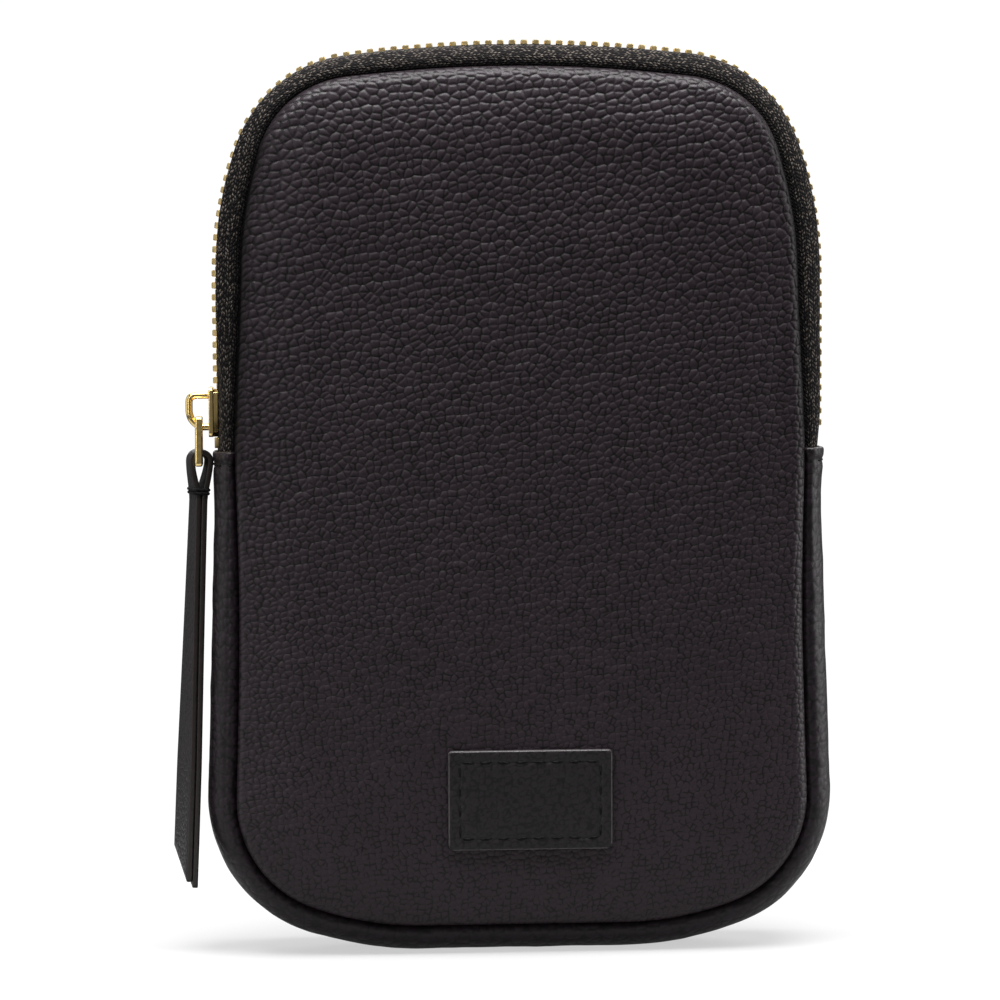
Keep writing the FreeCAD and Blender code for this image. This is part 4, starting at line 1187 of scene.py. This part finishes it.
# %% [markdown]
# ## Leather pull
# The pull is one strip folded through the link: its two leaves lie back to back, bound at the neck, and the
# strip hangs turned by some fifteen degrees, so that a little of its outer face shows beside the two cut
# edges. The end is cut slanting. It could be a plane with bend modifiers, but a short rule is clearer: walk
# up one leaf, round the loop and down the other, and turn each cross-section by the angle at its height.
# Cut edges get the painted finish.

# %% Rule of the pull
TAB_PIVOT = Vector((-63.1, 0.0, 97.3))
LEAN = math.radians(2.5)
TAB_LEAF = 1.12
LOOP_RADIUS = 1.83
# turn of the strip in degrees: at the loop, then so much more down the neck and so much more down the leaves
TWISTS = (8.0, 5.5, 2.0)
NECK_LENGTH = 7
LEAVES_START = 10
LEAVES_LENGTH = 70
# room between the leaves, the drop at which the loop has closed, and the length over which it closes
LEAF_ROOM = 0.05
LOOP_FOOT = 8.2
LOOP_LENGTH = 8.6
# half widths of the strip at two drops below the pivot
TAB_HALVES = ((5.2, 3.0), (60.0, 5.5))


def tab_twist(drop):
    """Turn of the strip at a drop below the pivot: most of it by the neck, a little more down the leaves."""
    at_loop, at_neck, at_leaves = TWISTS
    turn = at_loop + at_neck * smooth_step(drop / NECK_LENGTH)
    return math.radians(turn + at_leaves * smooth_step((drop - LEAVES_START) / LEAVES_LENGTH))


def tab_half(drop):
    """Half width of the strip at a drop below the pivot."""
    (neck, narrow), (low, wide) = TAB_HALVES
    return narrow + (wide - narrow) * min(1.0, max(0.0, (drop - neck) / (low - neck)))


def hang(side, across, drop):
    """Place of a point on the pull: side out of the middle, across its width, drop below the pivot."""
    angle = tab_twist(drop)
    x = side * math.cos(angle) - across * math.sin(angle)
    y = side * math.sin(angle) + across * math.cos(angle)
    x, z = x * math.cos(LEAN) - drop * math.sin(LEAN), -x * math.sin(LEAN) - drop * math.cos(LEAN)
    return TAB_PIVOT.x + x, TAB_PIVOT.y + y, TAB_PIVOT.z + z


def leaf_gap(drop):
    """Half the distance between the leaves' middles: closed below the neck, open round the loop."""
    closed = TAB_LEAF / 2 + LEAF_ROOM
    return closed + (LOOP_RADIUS - closed) * smooth_step((LOOP_FOOT - drop) / LOOP_LENGTH)


print("twist at the end in degrees:", round(math.degrees(tab_twist(TAB_HALVES[1][0])), 1))

# %% Pull strip
TAB_DROP = 84.2
TAB_SLANT = 6.0
SLANT_START = 60
LEAF_STEP = 1.2
EDGE_ROUNDING = 0.62
# a face is an edge when it looks aside this much, and a cut end when it looks up or down this much, low down
LOOKS_ASIDE = 0.75
LOOKS_DOWN = 0.9
CUT_END = 30
SHARES = (-1.0, -0.97, -0.6, -0.2, 0.2, 0.6, 0.97, 1.0)
TAB_SECTION = [(share, face) for face in (1, -1) for share in SHARES[::face]]

# wide steps on the leaves, close ones at the neck
drops = np.concatenate([np.linspace(TAB_DROP, 9, 70), np.linspace(8.4, 0.0, 16)])
walk = [(-leaf_gap(drop), drop) for drop in drops]
walk += [(-LOOP_RADIUS * math.cos(angle), -LOOP_RADIUS * math.sin(angle))
         for angle in np.radians(np.linspace(12, 168, 14))]
walk += [(leaf_gap(drop), drop) for drop in drops[::-1]]
walk = np.array(walk)
forward = np.gradient(walk, axis=0)
forward /= np.linalg.norm(forward, axis=1)[:, None]

points = []
for (side, drop), ahead in zip(walk, forward):
    outward = np.array([-ahead[1], ahead[0]])
    # the left leaf is cut a little shorter
    shorter = LEAF_STEP if side < 0 else 0.0
    for share, face in TAB_SECTION:
        rounding = EDGE_ROUNDING if abs(share) == 1.0 else 1.0
        spot = np.array([side, drop]) + outward * face * TAB_LEAF / 2 * rounding
        across = share * tab_half(drop)
        near_end = max(0.0, (drop - SLANT_START) / (TAB_DROP - SLANT_START))
        slant = (TAB_SLANT * (share + 1) / 2 + shorter) * near_end
        points.append(hang(spot[0], across, spot[1] - slant))
faces = grid_faces(len(walk), len(TAB_SECTION)) + end_faces(len(walk), len(TAB_SECTION))
tab = mesh_piece("pull_tab_strip", points, faces, [tab_leather, edge_paint])
# faces at the long edges and at the two cut ends are painted
for face in tab.data.polygons:
    at_edge = abs(face.normal.y) > LOOKS_ASIDE
    at_end = abs(face.normal.z) > LOOKS_DOWN and face.center.z < CUT_END * MM
    face.material_index = 1 if at_edge or at_end else 0
hand_over(tab, ["pull_tab"], "pull_tab")

# %% [markdown]
# ## Label
# The label is a bare patch of smooth leather sewn low on the front. Its edge is cut square and slightly
# crushed, its face is pressed in along the stitches. Rings again: from the cut edge over the rim, through the
# groove of the stitching, and in to the middle. Every ring takes its height from the panel's face, so the
# patch lies on it.

# %% Label
LABEL_CENTRE = np.array([1.0, 30.9])
LABEL_HALF = np.array([16.1, 9.8])
LOW_CORNER = 1.2
HIGH_CORNER = 0.8
BURNISHED_HIGHLIGHT_WIDTH = 0.22


def rounded_box(half, low_radius, high_radius, steps=7, longest=1.5):
    """Outline of the label, counter-clockwise from the lower right, with no step over longest."""
    line = []
    for (x, z), radius, start in (((1, -1), low_radius, -90), ((1, 1), high_radius, 0),
                                  ((-1, 1), high_radius, 90), ((-1, -1), low_radius, 180)):
        centre = np.array([x * (half[0] - radius), z * (half[1] - radius)])
        line += [centre + radius * np.array([math.cos(angle), math.sin(angle)])
                 for angle in np.radians(np.linspace(start, start + 90, steps))]
    dense = []
    for first, last in zip(line, line[1:] + line[:1]):
        pieces = max(1, round(float(np.linalg.norm(last - first)) / longest))
        dense += [first + (last - first) * step / pieces for step in range(pieces)]
    return np.array(dense)


outline = rounded_box(LABEL_HALF, LOW_CORNER, HIGH_CORNER)
# inset from the cut edge and height over the panel
LABEL_RINGS = [
    (0.0, -0.2), (0.0, 0.85), (0.07, 1.05), (0.25, 1.17), (0.6, 1.2), (1.6, 1.2), (2.0, 1.14), (2.3, 1.0),
    (2.6, 1.14), (3.0, 1.2), (4.2, 1.21), (6.0, 1.22), (8.0, 1.22), (9.79, 1.22)]
rows = []
for inset, lift in LABEL_RINGS:
    ring = outline * (LABEL_HALF - inset) / LABEL_HALF + LABEL_CENTRE
    rows.append(np.column_stack([ring[:, 0], -(face_depth(ring, -1) + lift), ring[:, 1]]))
faces = grid_faces(len(rows), len(outline)) + lids(len(rows), len(outline))
label = mesh_piece("label_patch_leather", np.concatenate(rows), faces, [label_leather, burnished_edge_highlight])
# a narrow band at the cut edge takes the paler edge finish, whose paleness is a painted highlight
for face in label.data.polygons:
    spot = np.array([face.center.x, face.center.z]) / MM - LABEL_CENTRE
    face.material_index = 1 if np.max(np.abs(spot) - LABEL_HALF) > -BURNISHED_HIGHLIGHT_WIDTH else 0
hand_over(label, ["label_patch"])

# %% [markdown]
# ## Stitches
# Every visible stitch is a short float of thread that dives into the leather at both ends. Stitches repeat
# along lines, so a second node tree sets a small spindle on each point of a path, with a slight random slant,
# because a sewing machine lays lockstitches a little askew. Length, thread, pitch, slant and seed are inputs
# of the tree. The binding of the pull is wound, not sewn, so it is two plain rings of thread.

# %% Tree that sets stitches along a path
stitch_tree, given, result = new_tree("stitches along a line", [
    ("Length", "NodeSocketFloat"), ("Thread", "NodeSocketFloat"), ("Pitch", "NodeSocketFloat"),
    ("Slant", "NodeSocketFloat"), ("Seed", "NodeSocketInt"), ("Yarn", "NodeSocketMaterial")])
path = add(stitch_tree, "GeometryNodeMeshToCurve", {"Mesh": given.outputs["Geometry"]})
even = add(stitch_tree, "GeometryNodeResampleCurve", {"Curve": path.outputs[0],
                                                      "Length": given.outputs["Pitch"]}, mode="LENGTH")
ahead = add(stitch_tree, "GeometryNodeInputTangent")
facing = add(stitch_tree, "FunctionNodeAlignRotationToVector", {"Vector": ahead.outputs[0]}, axis="X")
least = add(stitch_tree, "ShaderNodeMath", {0: given.outputs["Slant"], 1: -1.0}, operation="MULTIPLY")
chance = add(stitch_tree, "FunctionNodeRandomValue", {2: least.outputs[0], 3: given.outputs["Slant"],
                                                      "Seed": given.outputs["Seed"]})
askew = add(stitch_tree, "ShaderNodeCombineXYZ", {"Y": chance.outputs[1]})
swing = add(stitch_tree, "FunctionNodeEulerToRotation", {0: askew.outputs[0]})
turned = add(stitch_tree, "FunctionNodeRotateRotation", {0: facing.outputs[0], 1: swing.outputs[0]},
             rotation_space="LOCAL")
spindle = add(stitch_tree, "GeometryNodeMeshUVSphere", {"Segments": 8, "Rings": 6, "Radius": 0.5})
stretch = add(stitch_tree, "ShaderNodeCombineXYZ", {
    "X": given.outputs["Length"], "Y": given.outputs["Thread"], "Z": given.outputs["Thread"]})
row = add(stitch_tree, "GeometryNodeInstanceOnPoints", {
    "Points": even.outputs[0], "Instance": spindle.outputs[0], "Rotation": turned.outputs[0],
    "Scale": stretch.outputs[0]})
whole = add(stitch_tree, "GeometryNodeRealizeInstances", {"Geometry": row.outputs[0]})
soft = add(stitch_tree, "GeometryNodeSetShadeSmooth", {"Geometry": whole.outputs[0]})
finished = add(stitch_tree, "GeometryNodeSetMaterial", {"Geometry": soft.outputs[0],
                                                        "Material": given.outputs["Yarn"]})
stitch_tree.links.new(finished.outputs[0], result.inputs[0])
print("tree:", stitch_tree.name, "with", len(stitch_tree.nodes), "nodes")

# %% Stitches on the label and the hems
THREAD = 0.55
# greatest random turn of a stitch, in radians
STITCH_SLANT = 0.12
LABEL_STITCH_INSET = 2.3
LABEL_STITCH_LIFT = 1.02
LABEL_CORNER = 1.6
# the ridges beside the gusset's seams lie beyond this depth and this inset
RIDGE_DEPTH = 9.4
RIDGE_INSET = 4.0


def sewn(name, lines, node, seed, length, pitch):
    """Row of stitches along lines of points in millimetres."""
    piece = wire(name, lines)
    run_tree(piece, stitch_tree, Length=length * MM, Thread=THREAD * MM, Pitch=pitch * MM,
             Slant=STITCH_SLANT, Seed=seed, Yarn=thread)
    hand_over(piece, [node])


half = LABEL_HALF - LABEL_STITCH_INSET
label_rows = []
for sign in (1, -1):
    level = np.linspace(LABEL_CORNER - half[0], half[0] - LABEL_CORNER, 12)
    upright = np.linspace(LABEL_CORNER - half[1], half[1] - LABEL_CORNER, 8)
    label_rows.append(np.column_stack([level, np.full(len(level), sign * half[1])]) + LABEL_CENTRE)
    label_rows.append(np.column_stack([np.full(len(upright), sign * half[0]), upright]) + LABEL_CENTRE)
label_lines = [[(x, -(depth + LABEL_STITCH_LIFT), z) for (x, z), depth in zip(row, face_depth(row, -1))]
               for row in label_rows]
sewn("label_stitch_rows", label_lines, "label_stitching", 4, length=2.5, pitch=3.1)

# the hem's stitches run over the crest of the gusset, between the ridges beside its seams
hem_section = [(inset, depth) for inset, depth in GUSSET_SECTION
               if abs(depth) < RIDGE_DEPTH and inset < RIDGE_INSET]
hem_lines = []
for sign in (1, -1):
    surface = ZIP_HALF + HEM_LIPS[sign] * math.exp(-(HEM_STITCH_DROP / HEM_LIP_REACH) ** 2) - HEM_DENT
    hem_lines.append([(sign * (surface - inset), depth, HEM_TOP - HEM_STITCH_DROP)
                      for inset, depth in hem_section])
sewn("hem_stitch_rows", hem_lines, "hem_stitching", 9, length=2.2, pitch=2.6)

# %% Thread that binds the neck of the pull
BIND_DROPS = (5.6, 6.3)
BIND_THREAD = 0.36
BIND_GAP = 0.1
BIND_SQUARE = 0.35
BIND_STEPS = 48
BIND_SIDES = 10


def squarish(wave):
    """Sine or cosine pushed outwards: a rounded rectangle hugs the strip better than an ellipse."""
    return math.copysign(abs(wave) ** BIND_SQUARE, wave)


points, faces = [], []
for drop in BIND_DROPS:
    side = leaf_gap(drop) + TAB_LEAF / 2 + BIND_GAP
    wide = tab_half(drop) + BIND_GAP
    first = len(points)
    for step in range(BIND_STEPS):
        around = 2 * math.pi * step / BIND_STEPS
        for angle in np.linspace(0, 2 * math.pi, BIND_SIDES, endpoint=False):
            grow = BIND_THREAD * math.cos(angle)
            out = (side + grow) * squarish(math.cos(around))
            across = (wide + grow) * squarish(math.sin(around))
            points.append(hang(out, across, drop + BIND_THREAD * math.sin(angle)))
    for step in range(BIND_STEPS):
        near = first + step * BIND_SIDES
        far = first + (step + 1) % BIND_STEPS * BIND_SIDES
        for place in range(BIND_SIDES):
            beside = (place + 1) % BIND_SIDES
            faces.append((near + place, near + beside, far + beside, far + place))
binding = mesh_piece("pull_neck_binding", points, faces, [thread])
hand_over(binding, ["pull_tab_stitching"], "pull_tab")
